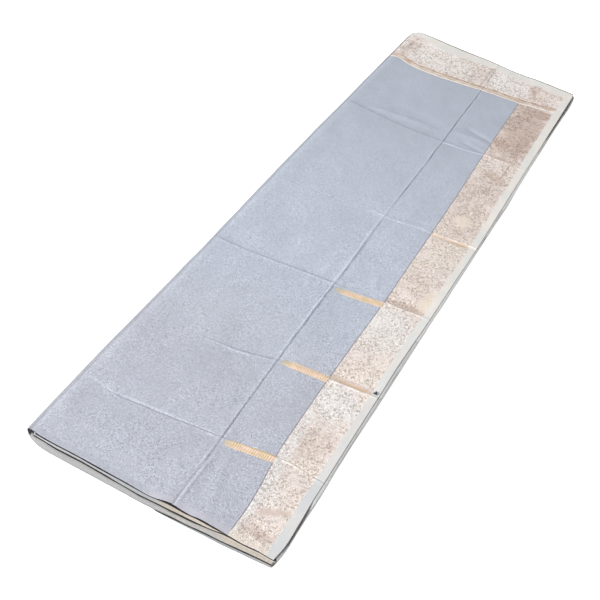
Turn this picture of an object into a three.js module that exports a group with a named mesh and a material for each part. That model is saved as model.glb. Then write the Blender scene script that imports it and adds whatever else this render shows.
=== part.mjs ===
// A folded silk saree lying flat: one woven length, folded in half four times along its length.
// Millimetres, +Z up. X runs across from the outer fold (-X) to the cloth's zari end (+X).
// Y runs along the woven width, from the near selvedge (-Y) to the bordered selvedge (+Y).
// The origin is at the bottom centre of the stack, which rests on z = 0.
import * as THREE from 'three';

// Driving dimensions
const STACK_HEIGHT = 14;      // top of the upper stretch, without its relief
const TOP_WALL = 1.3;         // wall of the upper stretch
const SEAM = 0.3;             // gap between neighbouring pieces
const FOLD_X = -145;          // where the flat stretches pass into the outer fold
const FOLD_SQUARENESS = 2.5;  // exponent of the fold's section: 2 is an ellipse, more is squarer
const FOLD_STEPS = 9;
const FOLD_LINE_X = -153;     // where lines across the cloth are read for the fold
const FOLD_END_RECESS = 3.2;  // how far the fold's near end draws back at half height
const FOLD_END_REACH = 30;    // and how far along the fold that is felt
const CREASE_REACH = 9;       // width of a crease's ridge, and of its trough
const CREASE_FLANK = CREASE_REACH / 2;
const CROSS_RISE = 0.9;       // ridge height of the cross creases
const LONG_RISE = 1.0;        // and of the long one
const VALLEY_SHARE = 0.5;     // depth of the trough beside a ridge, as a share of its height
const CREASE_FADE = 60;       // length over which a cross crease dies out towards the fold
const PILLOW_RISE = 0.8;      // how far the cloth lies up between two cross creases
const SELVEDGE_WIDTH = 8;     // near selvedge
const ACCENT_WIDTH = 15;      // gold stripe beside the far border
const LIFT_REACH = 60;        // how far in from the near edge a lifted lip reaches
const LIP_ROWS = [14, 32];    // rows of points that shape the lip, from the near edge
const BAR_WIDTH = 12;
const BAR_WALL = 0.5;
const BAR_START = 5;          // from the long crease to the thin end of a bar
const BAR_THIN_SHARE = 0.72;  // width of that end, as a share of the bar's
const BAR_TAPER = 14;         // length over which it widens
const BAR_CLEARANCE = 0.84;   // keeps a bar off the body's creases, whose points differ from its own
const KNOT = { x: 149, y: -292.4, length: 7, radius: 1.4, turn: 55 };

// The stretches under the upper one: bottom and top, how far in from the outer fold the left edge
// starts and its limit, how far in the right and far edges lie, and the near edge as [x, y]
const SLABS = {
  second_stretch: {
    low: 9.6, high: 12.4, foldMargin: 10, foldLimit: -148.5, rightInset: 1, farInset: 1.5,
    near: [[-148, -571.8], [-137, -572.6], [-120, -574.1], [-85, -572.9], [-50, -574.4],
      [-10, -576], [20, -574.4], [50, -574.2], [75, -572.6], [93, -569.6], [152, -567]],
  },
  third_stretch: {
    low: 7.6, high: 9.3, foldMargin: 5, foldLimit: -157, rightInset: 0.3, farInset: 1,
    near: [[-152, -573], [-120, -575.7], [-85, -574.5], [-50, -575.8], [-10, -577.1],
      [20, -575.7], [50, -575.2], [90, -572.8], [110, -572.2], [152, -571.2]],
  },
  hidden_layers: {
    low: 1.8, high: 7.3, foldMargin: 9, foldLimit: -152.5, rightInset: 0.3, farInset: 1.2,
    near: [[-148, -575.2], [-131, -577.6], [-85, -578.1], [-10, -578.3], [20, -577.4],
      [50, -575.9], [90, -574.4], [115, -573.2], [130, -572], [152, -571.4]],
  },
  bottom_stretch: {
    low: 0, high: 1.5, foldMargin: 0, foldLimit: FOLD_X + SEAM, rightInset: 0, farInset: 1,
    near: [[-144, -575.2], [-131, -577.4], [-85, -578], [-10, -578.3], [20, -578.4],
      [60, -577.6], [100, -576.4], [130, -574.6], [152, -571.8]],
  },
};
const SLAB_RIGHT_Y = [-560, -470, -308, -137, 67, 184, 312, 456, 536, 566];
const SLAB_FAR_X = [157, 105, 48, -11, -71, -130];
const SLAB_LEFT_Y = [568, 545, 410, 175, -20, -187, -333, -460, -534];
const HIDDEN_LAYER_COUNT = 5;
const HIDDEN_GROOVE = 0.7;
const BOTTOM_BEVEL = 0.2;

// Edges and woven lines, as [position along, position across]
const LEFT_SILHOUETTE = [      // y, x of the outer fold
  [-580, -161.6], [-572, -162], [-560, -162.5], [-534, -163], [-460, -163.5], [-333, -162.7],
  [-187, -161.4], [-20, -162.3], [175, -162], [327, -160], [410, -159], [500, -158],
  [545, -157], [562, -154.5], [580, -150.5],
];
const TOP_RIGHT_EDGE = [       // y, x of the upper stretch's cut end
  [-580, 152], [-571, 152.5], [-564, 153.6], [-553, 155.3], [-540, 155.9], [-515, 155.3],
  [-480, 154.4], [-230, 154.6], [-150, 156.7], [-55, 158.2], [50, 159.9], [166, 160.3],
  [293, 159.9], [432, 160.6], [560, 161], [580, 159.4],
];
const LOWER_RIGHT_EDGE = [     // y, x of the stretches below
  [-580, 152.6], [-571, 153.7], [-560, 155.3], [-546, 156.3], [-504, 156], [-383, 155.9],
  [-308, 156.6], [-226, 157.4], [-137, 158.4], [-40, 159.4], [67, 160.6], [184, 162],
  [312, 160.8], [456, 161.2], [536, 163.5], [562, 162.8], [580, 159.5],
];
const TOP_NEAR_EDGE = [        // x, y of the upper stretch's near edge
  [-165, -570.6], [-150, -570.6], [-134, -571.4], [-87, -571.4], [-37, -572], [-4, -573.5],
  [5, -572.8], [13, -570.8], [21, -569.4], [29, -570.2], [37, -570.4], [48, -571], [52, -570],
  [66, -570], [80, -570.2], [95, -571], [112, -571.6], [136, -570.6], [152, -571],
];
const NEAR_LIFT = [            // x, how far the near edge stands up
  [-4, 0], [5, 0.8], [13, 2.4], [21, 3], [29, 1.7], [37, 0.6], [49, 0.3], [54, 1.2], [66, 1.9],
  [80, 1], [95, 0.4], [112, 0],
];
const FAR_EDGE = [             // x, y of the far edge
  [-165, 571], [-151, 572.4], [-141, 580], [-132, 579.6], [-71, 577], [-11, 576.6],
  [48, 574.2], [105, 576], [163, 575.4],
];
const BORDER_INNER = [         // x, y where the body meets the far border
  [-165, 461], [-151, 463], [-138, 466], [-119, 458], [-97, 453], [-60, 453], [-29, 458.6],
  [-1, 463], [17, 467.7], [40, 471], [90, 474.5], [149, 489],
];
const BORDER_OUTER = [         // x, y where the far border meets its plain selvedge
  [-165, 563], [-149, 565], [-134, 566], [-98, 554], [-50, 549], [24, 558], [84, 553.5],
  [163, 553],
];
const END_INNER = [            // y, x where the body meets the end panel
  [-575, 96.5], [-560, 97.6], [-530, 98.6], [-498, 96.8], [-460, 93], [-440, 91],
  [-314, 90.4], [-126, 93.1], [54, 92.2], [142, 92], [289, 88.6], [475, 88],
];
const END_OUTER = [            // y, x where the end panel meets its plain strip
  [-575, 143.4], [-530, 144], [-494, 143.8], [-406, 145.6], [-322, 145.6], [-285, 144.6],
  [-119, 147.4], [-65, 148.4], [34, 150.6], [166, 150.4], [317, 148.2], [491, 148.4],
  [556, 149.6],
];
const LONG_CREASE = [          // y, x of the crease that runs the whole length
  [-575, 28.6], [-480, 27.4], [-460, 26.8], [-320, 23.8], [-190, 22.3], [-60, 21.6],
  [0, 20], [40, 19.2], [100, 20.6], [195, 21.2], [300, 20], [440, 17.6], [500, 16.8],
  [555, 16], [580, 15],
];
const CROSS_CREASES = [        // x, y of each crease's line, and the x where it has died out
  {
    name: 'c5', fadeLeft: -170,
    line: [[-160, -467], [-130, -471.5], [-106, -473], [-56, -468], [-15, -463.5],
      [22, -460.5], [40, -457], [92, -449], [106, -446.5], [120, -447.5], [152, -451.5]],
  },
  {
    name: 'c4', fadeLeft: -75,
    line: [[-160, -338], [-60, -332], [-28, -328.6], [22, -313], [92, -303.5], [152, -297]],
  },
  {
    name: 'c3', fadeLeft: -170,
    line: [[-160, -155.5], [-101, -154], [-56, -149.5], [19, -141.5], [92, -132.5], [152, -127]],
  },
  {
    name: 'c2', fadeLeft: -150,
    line: [[-160, 22], [-128, 23.6], [-65, 25.5], [-28, 30], [3, 40.5], [22, 39], [53, 41.4],
      [71, 46], [92, 47.3], [152, 56]],
  },
  {
    name: 'c1', fadeLeft: -165,
    line: [[-160, 283], [-131, 279.5], [-74, 274], [-42, 272.7], [-10, 274.5], [17, 277],
      [53, 281.4], [85, 287.3], [108, 290], [152, 292]],
  },
];
const BARS = [                 // how far before its crease each end of a bar's middle lies
  { name: 'bar_near', crease: 'c5', beforeLeft: 5.3, beforeRight: 3.8 },
  { name: 'bar_mid', crease: 'c4', beforeLeft: 0.4, beforeRight: 2.2 },
  { name: 'bar_far', crease: 'c3', beforeLeft: 10.5, beforeRight: 7.8 },
];
const BAR_SPAN = { left: 28, right: 92 };

const BLUE = '#b9c1cf';
const SILVER = '#d9dad8';
const ZARI = '#e2d6cb';
const GOLD = '#e2b98c';
const GREY = '#bdbdba';
const COLOURS = {
  ground: BLUE, near_selvedge: '#c6cad2', end_zari_panel: ZARI, end_plain_strip: SILVER,
  border_accent: GOLD, border_zari: ZARI, border_plain_selvedge: SILVER,
  bar_near: GOLD, bar_mid: GOLD, bar_far: GOLD, second_stretch: '#cbc7bf',
  third_stretch: '#bcbdbd', hidden_layers: GREY, bottom_stretch: '#aeb3bb', thread_knot: '#20243a',
};

// Straight-line reading of a two-column table
function read(table, at) {
  if (at <= table[0][0]) return table[0][1];
  for (let i = 1; i < table.length; i += 1) {
    const [a, va] = table[i - 1];
    const [b, vb] = table[i];
    if (at <= b) return va + (vb - va) * (at - a) / (b - a);
  }
  return table[table.length - 1][1];
}

const clampShare = (value) => Math.min(1, Math.max(0, value));

const creaseY = (crease, x) => read(crease.line, x);

// A ridge at zero with a trough beside it, gone at the crease's reach
function creaseProfile(distance) {
  const tent = (d) => Math.max(0, 1 - Math.abs(d) / CREASE_FLANK);
  return tent(distance) - VALLEY_SHARE * tent(distance - CREASE_FLANK);
}

// Height that the creases and the cloth between them add to the upper stretch
function relief(x, y) {
  let height = LONG_RISE * creaseProfile(x - read(LONG_CREASE, y));
  let nearer = read(TOP_NEAR_EDGE, x);
  for (const crease of CROSS_CREASES) {
    const line = creaseY(crease, x);
    const strength = clampShare((x - crease.fadeLeft) / CREASE_FADE);
    height += CROSS_RISE * strength * creaseProfile(line - y);
    if (y > line) nearer = line;
  }
  const further = CROSS_CREASES.map((c) => creaseY(c, x)).find((line) => line >= y)
    ?? read(FAR_EDGE, x);
  const share = (y - nearer) / Math.max(1, further - nearer);
  return height + PILLOW_RISE * Math.sin(Math.PI * clampShare(share));
}

function nearLift(x, y) {
  const inward = Math.max(0, y - read(TOP_NEAR_EDGE, x));
  return read(NEAR_LIFT, x) * Math.max(0, 1 - inward / LIFT_REACH) ** 2;
}

// One point pair of the upper stretch: its outer face and its inner face
function flatPoint(x, y) {
  const lift = nearLift(x, y);
  const outer = STACK_HEIGHT + relief(x, y) + lift;
  return {
    outer: [x, y, outer],
    inner: [x, y, STACK_HEIGHT - TOP_WALL + lift],
  };
}

// The same for the outer fold, at a share of the way round from its lower seam to the top
function foldPoint(share, lineY) {
  const inward = lineY - read(TOP_NEAR_EDGE, FOLD_LINE_X);
  const recess = FOLD_END_RECESS * clampShare(1 - inward / FOLD_END_REACH);
  const y = lineY + recess * Math.sin(Math.PI * share);
  const middle = STACK_HEIGHT / 2;
  const reach = FOLD_X - read(LEFT_SILHOUETTE, y);
  const angle = Math.PI * (share - 0.5);
  const bend = (value) => Math.sign(value) * Math.abs(value) ** (2 / FOLD_SQUARENESS);
  const place = (a, b) => [FOLD_X - a * bend(Math.cos(angle)), middle + b * bend(Math.sin(angle))];
  const [xo, zo] = place(reach, middle);
  const [xi, zi] = place(reach - TOP_WALL, middle - TOP_WALL);
  const raise = relief(FOLD_X, y) * share ** 4;
  return { outer: [xo, y, zo + raise], inner: [xi, y, zi] };
}

// Column lines across: the fold's steps, then lines at stated x, some of them following a table
const foldColumns = Array.from({ length: FOLD_STEPS }, (_, i) => ({ fold: i / FOLD_STEPS }));
const at = (x) => ({ x: () => x });
const along = (table, offset = 0) => ({ x: (y) => read(table, y) + offset });
const longCreaseColumns = [-3 * CREASE_FLANK, -CREASE_FLANK, 0, CREASE_FLANK, CREASE_REACH]
  .map((d) => along(LONG_CREASE, d));
const bodyColumns = [
  ...foldColumns, at(FOLD_X), at(-118), at(-85), at(-50), at(-20), at(0),
  ...longCreaseColumns, at(52), at(66), at(80),
];
const groundColumns = [...bodyColumns, along(END_INNER, -SEAM / 2)];
const endColumns = [
  along(END_INNER, SEAM / 2), at(108), at(122), at(136), along(END_OUTER, -SEAM / 2),
];
const stripColumns = [along(END_OUTER, SEAM / 2), along(TOP_RIGHT_EDGE)];
const borderColumns = [...bodyColumns, at(94), at(108), at(122), at(136)];

// Row lines along: each gives y for an x, and the y at which the columns are read
const offsetLine = (line, d) => (x) => line(x) + d;
const lerpLine = (a, b, t) => (x) => a(x) + (b(x) - a(x)) * t;
const nearLine = (x) => read(TOP_NEAR_EDGE, x);
const borderLine = (x) => read(BORDER_INNER, x);
const outerLine = (x) => read(BORDER_OUTER, x);
const farLine = (x) => read(FAR_EDGE, x);

function bodyRows(first, last) {
  const rows = [first, ...LIP_ROWS.map((d) => offsetLine(first, d))];
  let previous = rows[rows.length - 1];
  for (const crease of CROSS_CREASES) {
    const line = (x) => creaseY(crease, x);
    const start = offsetLine(line, -CREASE_REACH);
    rows.push(lerpLine(previous, start, 0.5), start);
    rows.push(offsetLine(line, -CREASE_FLANK), line, offsetLine(line, CREASE_FLANK));
    previous = offsetLine(line, CREASE_FLANK);
  }
  rows.push(lerpLine(previous, last, 0.33), lerpLine(previous, last, 0.66), last);
  return rows;
}

function place(column, row) {
  if (column.fold !== undefined) return foldPoint(column.fold, row(FOLD_LINE_X));
  const nominal = column.x(row(0));
  const x = column.x(row(nominal));
  return flatPoint(x, row(x));
}

// A closed wall between the outer and inner faces of a grid of points
function wallGeometry(columns, rows, move = (p) => p) {
  const across = columns.length;
  const down = rows.length;
  const positions = [];
  for (const face of ['outer', 'inner']) {
    for (const row of rows) {
      for (const column of columns) positions.push(...move(place(column, row), face));
    }
  }
  const id = (face, r, c) => face * across * down + r * across + c;
  const index = [];
  const quad = (a, b, c, d) => index.push(a, b, c, a, c, d);
  const lastRow = down - 1;
  const lastColumn = across - 1;
  for (let r = 0; r < lastRow; r += 1) {
    for (let c = 0; c < lastColumn; c += 1) {
      quad(id(0, r, c), id(0, r, c + 1), id(0, r + 1, c + 1), id(0, r + 1, c));
      quad(id(1, r, c), id(1, r + 1, c), id(1, r + 1, c + 1), id(1, r, c + 1));
    }
  }
  for (let c = 0; c < lastColumn; c += 1) {
    const d = c + 1;
    quad(id(1, 0, c), id(1, 0, d), id(0, 0, d), id(0, 0, c));
    quad(id(0, lastRow, c), id(0, lastRow, d), id(1, lastRow, d), id(1, lastRow, c));
  }
  for (let r = 0; r < lastRow; r += 1) {
    const s = r + 1;
    quad(id(0, r, 0), id(0, s, 0), id(1, s, 0), id(1, r, 0));
    quad(id(1, r, lastColumn), id(1, s, lastColumn), id(0, s, lastColumn), id(0, r, lastColumn));
  }
  return solid(positions, index);
}

function solid(positions, index) {
  const geometry = new THREE.BufferGeometry();
  geometry.setAttribute('position', new THREE.Float32BufferAttribute(positions, 3));
  geometry.setIndex(index);
  geometry.computeVertexNormals();
  return geometry;
}

const plain = (point, face) => point[face];

// A flat-faced slab whose edge follows a profile of [inset, z], bottom to top
function slabGeometry(outline, profile) {
  const count = outline.length;
  const positions = [];
  for (const [inset, z] of profile) {
    for (let i = 0; i < count; i += 1) {
      const [x, y] = insetPoint(outline, i, inset);
      positions.push(x, y, z);
    }
  }
  const index = [];
  for (let k = 0; k < profile.length - 1; k += 1) {
    for (let i = 0; i < count; i += 1) {
      const j = (i + 1) % count;
      const a = k * count + i;
      const b = k * count + j;
      index.push(a, b, b + count, a, b + count, a + count);
    }
  }
  const contour = outline.map(([x, y]) => new THREE.Vector2(x, y));
  const top = (profile.length - 1) * count;
  for (const [a, b, c] of THREE.ShapeUtils.triangulateShape(contour, [])) {
    index.push(c, b, a, top + a, top + b, top + c);
  }
  return solid(positions, index);
}

// The outline's point moved inwards; the outline runs anticlockwise seen from above
function insetPoint(outline, i, inset) {
  const count = outline.length;
  const here = new THREE.Vector2(...outline[i]);
  const before = new THREE.Vector2(...outline[(i + count - 1) % count]);
  const after = new THREE.Vector2(...outline[(i + 1) % count]);
  const inA = here.clone().sub(before).normalize();
  const inB = after.clone().sub(here).normalize();
  const normal = new THREE.Vector2(-inA.y - inB.y, inA.x + inB.x).normalize();
  return [here.x + normal.x * inset, here.y + normal.y * inset];
}

// Anticlockwise from the near left corner
function slabOutline({ foldMargin, foldLimit, rightInset, farInset, near }) {
  const left = (y) => Math.max(read(LEFT_SILHOUETTE, y) + foldMargin, foldLimit);
  const right = (y) => read(LOWER_RIGHT_EDGE, y) - rightInset;
  const nearLeftY = near[0][1];
  const nearRightY = near[near.length - 1][1];
  return [
    [left(nearLeftY), nearLeftY],
    ...near.slice(1, -1),
    ...[nearRightY, ...SLAB_RIGHT_Y].map((y) => [right(y), y]),
    ...SLAB_FAR_X.map((x) => [x, farLine(x) - farInset]),
    ...SLAB_LEFT_Y.map((y) => [left(y), y]),
  ];
}

// Rounded edges, or for the hidden layers one rounded edge for each layer
function slabProfile(name) {
  const { low, high } = SLABS[name];
  if (name !== 'hidden_layers') {
    const round = (high - low) / 3;
    const bevel = name === 'bottom_stretch' ? BOTTOM_BEVEL : round;
    return [[bevel, low], [0, low + round], [0, high - round], [round, high]];
  }
  const step = (high - low) / HIDDEN_LAYER_COUNT;
  const profile = [[HIDDEN_GROOVE, low]];
  for (let i = 0; i < HIDDEN_LAYER_COUNT; i += 1) {
    profile.push([0, low + step * (i + 0.5)], [HIDDEN_GROOVE, low + step * (i + 1)]);
  }
  return profile;
}

// A gold bar: made from the body's own points, moved out, and narrower at its thin end
function barGeometry({ crease: creaseName, beforeLeft, beforeRight }) {
  const crease = CROSS_CREASES.find((c) => c.name === creaseName);
  const middle = (x) => {
    const share = clampShare((x - BAR_SPAN.left) / (BAR_SPAN.right - BAR_SPAN.left));
    return creaseY(crease, x) - beforeLeft + (beforeLeft - beforeRight) * share;
  };
  const columns = [
    along(LONG_CREASE, BAR_START), along(LONG_CREASE, CREASE_REACH), at(44), at(52), at(66),
    at(80), along(END_INNER, -SEAM),
  ];
  const widening = (x) => {
    const share = clampShare((x - read(LONG_CREASE, middle(x)) - BAR_START) / BAR_TAPER);
    return BAR_THIN_SHARE + (1 - BAR_THIN_SHARE) * share;
  };
  const side = (sign) => (x) => middle(x) + sign * widening(x) * BAR_WIDTH / 2;
  const rows = [side(-1), middle, side(1)];
  return wallGeometry(columns, rows, (point, face) => {
    const [x, y] = point.outer;
    const base = flatPoint(x, y).outer[2] + BAR_CLEARANCE;
    return [x, y, face === 'outer' ? base + BAR_WALL : base];
  });
}

function knotGeometry() {
  const geometry = new THREE.CapsuleGeometry(KNOT.radius, KNOT.length - 2 * KNOT.radius, 3, 8);
  geometry.deleteAttribute('normal');
  geometry.deleteAttribute('uv');
  return geometry;
}

const saree = new THREE.Group();

function add(name, geometry) {
  const metallic = /zari|accent|bar_/.test(name);
  const material = new THREE.MeshStandardMaterial({
    color: COLOURS[name],
    roughness: metallic ? 0.42 : 0.62,
    metalness: metallic ? 0.35 : 0,
    side: THREE.FrontSide,
  });
  const mesh = new THREE.Mesh(geometry, material);
  mesh.name = name;
  saree.add(mesh);
  return mesh;
}

// Neighbouring panels share their row lines, so that their edges keep one gap
const groundStart = offsetLine(nearLine, SELVEDGE_WIDTH + SEAM);
const groundEnd = offsetLine(borderLine, -SEAM / 2);
const stripEnd = offsetLine(outerLine, -SEAM / 2);
const groundRows = bodyRows(groundStart, groundEnd);
const selvedgeRows = [nearLine, offsetLine(nearLine, SELVEDGE_WIDTH)];
const endRows = [nearLine, ...groundRows];
const accentRows = [offsetLine(borderLine, SEAM / 2), offsetLine(borderLine, ACCENT_WIDTH)];
const zariStart = offsetLine(borderLine, ACCENT_WIDTH + SEAM);
const zariRows = [0, 0.33, 0.66, 1].map((t) => lerpLine(zariStart, stripEnd, t));
const stripRows = [...endRows, accentRows[1], ...zariRows.slice(1)];
const farStart = offsetLine(outerLine, SEAM / 2);
const farRows = [farStart, lerpLine(farStart, farLine, 0.5), farLine];
const borderZariColumns = [...borderColumns, along(END_OUTER, -SEAM / 2)];
const farColumns = [...borderZariColumns, along(TOP_RIGHT_EDGE)];

add('ground', wallGeometry(groundColumns, groundRows, plain));
add('near_selvedge', wallGeometry(groundColumns, selvedgeRows, plain));
add('end_zari_panel', wallGeometry(endColumns, endRows, plain));
add('end_plain_strip', wallGeometry(stripColumns, stripRows, plain));
add('border_accent', wallGeometry(borderZariColumns, accentRows, plain));
add('border_zari', wallGeometry(borderZariColumns, zariRows, plain));
add('border_plain_selvedge', wallGeometry(farColumns, farRows, plain));
for (const bar of BARS) add(bar.name, barGeometry(bar));
for (const name of Object.keys(SLABS)) {
  add(name, slabGeometry(slabOutline(SLABS[name]), slabProfile(name)));
}

const knot = add('thread_knot', knotGeometry());
const knotBed = flatPoint(KNOT.x, KNOT.y).outer[2];
knot.position.set(KNOT.x, KNOT.y, knotBed + SEAM + KNOT.radius);
knot.rotation.z = THREE.MathUtils.degToRad(KNOT.turn);

export default saree;
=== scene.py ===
"""A folded silk saree on a pale floor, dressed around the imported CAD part.

Sizes are in millimetres."""

import math

import bpy
import numpy as np
from mathutils import Matrix, Vector
from mathutils.geometry import tessellate_polygon


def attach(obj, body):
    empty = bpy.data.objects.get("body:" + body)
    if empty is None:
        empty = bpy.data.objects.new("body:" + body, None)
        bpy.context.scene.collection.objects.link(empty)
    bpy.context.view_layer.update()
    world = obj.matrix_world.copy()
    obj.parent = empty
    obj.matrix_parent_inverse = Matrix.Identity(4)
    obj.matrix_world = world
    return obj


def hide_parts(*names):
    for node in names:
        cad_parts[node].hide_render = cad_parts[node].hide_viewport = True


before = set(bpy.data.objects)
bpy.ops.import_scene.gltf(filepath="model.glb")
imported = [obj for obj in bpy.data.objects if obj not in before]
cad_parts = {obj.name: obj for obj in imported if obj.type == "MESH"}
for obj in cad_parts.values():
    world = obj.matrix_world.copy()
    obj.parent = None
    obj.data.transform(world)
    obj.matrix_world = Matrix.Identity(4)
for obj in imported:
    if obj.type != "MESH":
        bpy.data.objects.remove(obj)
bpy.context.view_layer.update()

MM = 0.001

# Camera, in metres: at the photo's angle to the cloth
CAMERA_PLACE = Vector((0.32209, -1.21501, 0.99069))
CAMERA_AIM = Vector((-0.0070, -0.1849, 0.0))
CAMERA_ROLL = 13.08
CAMERA_LENS = 66.0
CAMERA_SENSOR = 36.0

# Floor and lights, in metres: place of a square light, its side, its power
FLOOR_HALF_SIDE = 6.0
FLOOR_DROP = 0.0002      # below the underside
FLOOR_GLOW = 0.72
STUDIO_LIGHT = 0.42
LIGHTS = {"key": ((-4.3, -4.8, 3.5), 2.0, 780), "softbox": ((0, 0.3, 2.4), 3.0, 22)}

# Stack, millimetres
STACK_HEIGHT = 14.0
CLOTH = 0.35            # drawn thickness of the stretches that show
FOLD_X = -145.0
FOLD_SQUARENESS = 2.5
FOLD_STEPS = 15

# Edges and woven lines of the cloth, as (position along, position across)
LEFT_SILHOUETTE = [(-580, -161.6), (-572, -162), (-560, -162.5), (-534, -163), (-460, -163.5),
                   (-333, -162.7), (-187, -161.4), (-20, -162.3), (175, -162), (327, -160),
                   (410, -159), (500, -158), (545, -157.4), (562, -156.4), (580, -152.5)]
TOP_RIGHT_EDGE = [(-580, 152), (-571, 152.5), (-564, 153.6), (-553, 155.3), (-540, 155.9),
                  (-515, 155.3), (-480, 154.4), (-230, 154.6), (-150, 156.7), (-55, 158.2),
                  (50, 159.9), (166, 160.3), (293, 159.9), (432, 160.6), (560, 161), (580, 159.4)]
LOWER_RIGHT_EDGE = [(-580, 152.6), (-571, 153.7), (-560, 155.3), (-546, 156.3), (-504, 156),
                    (-383, 155.9), (-308, 156.6), (-226, 157.4), (-137, 158.4), (-40, 159.4),
                    (67, 160.6), (184, 162), (312, 160.8), (456, 161.2), (536, 163.5),
                    (562, 162.8), (580, 159.5)]
TOP_NEAR_EDGE = [(-165, -570.6), (-150, -570.6), (-134, -571.4), (-87, -571.4), (-37, -572),
                 (-4, -573.5), (5, -572.8), (13, -570.8), (21, -569.4), (29, -570.2),
                 (37, -570.4), (48, -571), (52, -570), (66, -570), (80, -570.2), (95, -571),
                 (112, -571.6), (136, -570.6), (152, -571)]
NEAR_LIFT = [(-4, 0), (5, 0.8), (13, 2.4), (21, 3), (29, 1.7), (37, 0.6), (49, 0.3), (54, 1.2),
             (66, 1.9), (80, 1), (95, 0.4), (112, 0)]
LIFT_REACH = 60.0
FAR_EDGE = [(-165, 571), (-151, 572.4), (-141, 580), (-132, 579.6), (-71, 577), (-11, 576.6),
            (48, 574.2), (105, 576), (163, 575.4)]
BORDER_INNER = [(-165, 461), (-151, 463), (-138, 466), (-119, 458), (-97, 453), (-60, 453),
                (-29, 458.6), (-1, 463), (17, 467.7), (40, 471), (90, 474.5), (149, 489)]
BORDER_OUTER = [(-165, 563), (-149, 565), (-134, 566), (-98, 554), (-50, 549), (24, 558),
                (84, 553.5), (163, 553)]
END_INNER = [(-575, 96.5), (-560, 97.6), (-530, 98.6), (-498, 96.8), (-460, 93), (-440, 91),
             (-314, 90.4), (-126, 93.1), (54, 92.2), (142, 92), (289, 88.6), (475, 88)]
END_OUTER = [(-575, 143.4), (-530, 144), (-494, 143.8), (-406, 145.6), (-322, 145.6),
             (-285, 144.6), (-119, 147.4), (-65, 148.4), (34, 150.6), (166, 150.4),
             (317, 148.2), (491, 148.4), (556, 149.6)]
LONG_CREASE = [(-575, 28.6), (-480, 27.4), (-460, 26.8), (-320, 23.8), (-190, 22.3), (-60, 21.6),
               (0, 20), (40, 19.2), (100, 20.6), (195, 21.2), (300, 20), (350, 19.9),
               (400, 20.2), (440, 20.6), (466, 19.9), (575, 16.2)]
SELVEDGE_WIDTH = 8.0
ACCENT_WIDTH = 15.0
CREAM_LINE = 3.2         # of the accent, on the ground's side
BROWN_LINE = 2.6         # of the accent, on the border's side
FAR_SHADE_WIDTH = 2.6         # of the dark band of painted shade along the far edge

# Cross creases: over how far the drop behind it is made, the line it follows, as (x, y), and its
# form along that, as (x, ridge on its near side, groove, drop of the cloth behind it, dip of the
# cloth before it)
CROSS_CREASES = {
    "c5": {"reach": 2.2,
           "line": [(-160, -467), (-130, -471.5), (-106, -473), (-56, -468), (-15, -463.5),
                    (22, -460.5), (40, -457), (92, -449), (106, -446.5), (120, -447.5),
                    (152, -451.5)],
           "form": [(-160, 0, 0, -0.5, 0), (-118, 0, 0.1, -0.8, 0), (-98, 0.1, 0.6, -0.3, 0),
                    (-80, 0, 1.3, 0, 0), (-30, 0.1, 1.3, 0.1, 0), (-12, 0.3, 0.8, 0.2, 0),
                    (12, 0.8, 0.5, 0.3, 0.2), (24, 0.8, 0.3, 0.2, 0.2),
                    (36, 0.4, 0.1, 0.2, 0), (90, 0.4, 0.2, 0.3, 0), (98, 0.5, 0.6, 0.5, 0),
                    (125, 0.5, 0.6, 0.5, 0.1), (152, 0.3, 0.3, 0.2, 0)]},
    "c4": {"reach": 2.6,
           "line": [(-160, -338), (-60, -332), (-28, -328.6), (22, -313), (92, -303.5),
                    (152, -297)],
           "form": [(-75, 0, 0, 0, 0), (-32, 1.0, 0.3, 0.5, 0.2), (-8, 0.9, 0.3, 1.5, 0.3),
                    (14, 0.5, 0.4, 1.3, 0), (28, 0.2, 0, 0.1, 0), (88, 0.2, 0, 0.1, 0),
                    (96, 0.8, 0.4, 1.5, 0), (142, 0.8, 0.4, 1.5, 0), (150, 0.4, 0.3, 0.3, 0)]},
    "c3": {"reach": 3.2,
           "line": [(-160, -155.5), (-101, -154), (-56, -149.5), (19, -141.5), (92, -132.5),
                    (152, -127)],
           "form": [(-162, 0.2, 0, 0.6, 0), (-135, 0.3, 0.2, 1.6, 0), (-60, 0.5, 0.2, 2.0, 0),
                    (14, 0.6, 0.3, 1.7, 0), (26, 0.3, 0.1, 0.3, 0), (88, 0.2, 0.1, 0.2, 0),
                    (96, 0.6, 0.3, 1.7, 0), (144, 0.6, 0.4, 1.7, 0), (152, 0.3, 0.2, 0.8, 0)]},
    "c2": {"reach": 4.2,
           "line": [(-160, 22), (-128, 23.6), (-65, 25.5), (-28, 30), (3, 40.5), (22, 39),
                    (53, 41.4), (71, 46), (92, 47.3), (152, 56)],
           "form": [(-150, 0, 0, 0, 0), (-125, 0.2, 0.4, 0.4, 0), (-50, 0.2, 0.5, 0.4, 0),
                    (-15, 0.4, 0.4, 0.3, 0), (3, 0.9, 0.4, 0.2, 0.2), (24, 0.9, 0.5, 0.3, 0.2),
                    (60, 0.9, 0.6, 0.4, 0.2), (92, 1.2, 0.5, 0.5, 0.8), (145, 1.5, 0.5, 0.5, 1.2),
                    (152, 0.8, 0.3, 0.3, 0.5)]},
    "c1": {"reach": 8.0,
           "line": [(-160, 283), (-131, 279.5), (-74, 274), (-42, 272.7), (-10, 274.5),
                    (17, 277), (53, 281.4), (85, 287.3), (108, 290), (152, 292)],
           "form": [(-162, 0, 0, 0, 0), (-132, 0.1, 0.2, 0.9, 0), (-60, 0.1, 0.3, 1.5, 0),
                    (12, 0.2, 0.3, 1.4, 0), (28, 0.8, 0.3, 0.9, 0.2), (86, 1.2, 0.3, 0.8, 0.3),
                    (96, 1.0, 0.4, 1.4, 0), (130, 0.8, 0.5, 1.5, 0), (152, 0.4, 0.3, 0.5, 0)]},
}
RIDGE_WIDTH = 1.9        # to where a ridge has lost two thirds of its height
GROOVE_WIDTH = 1.5
LONG_DROP_REACH = 2.2
DIP_REACH = 8.0
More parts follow.
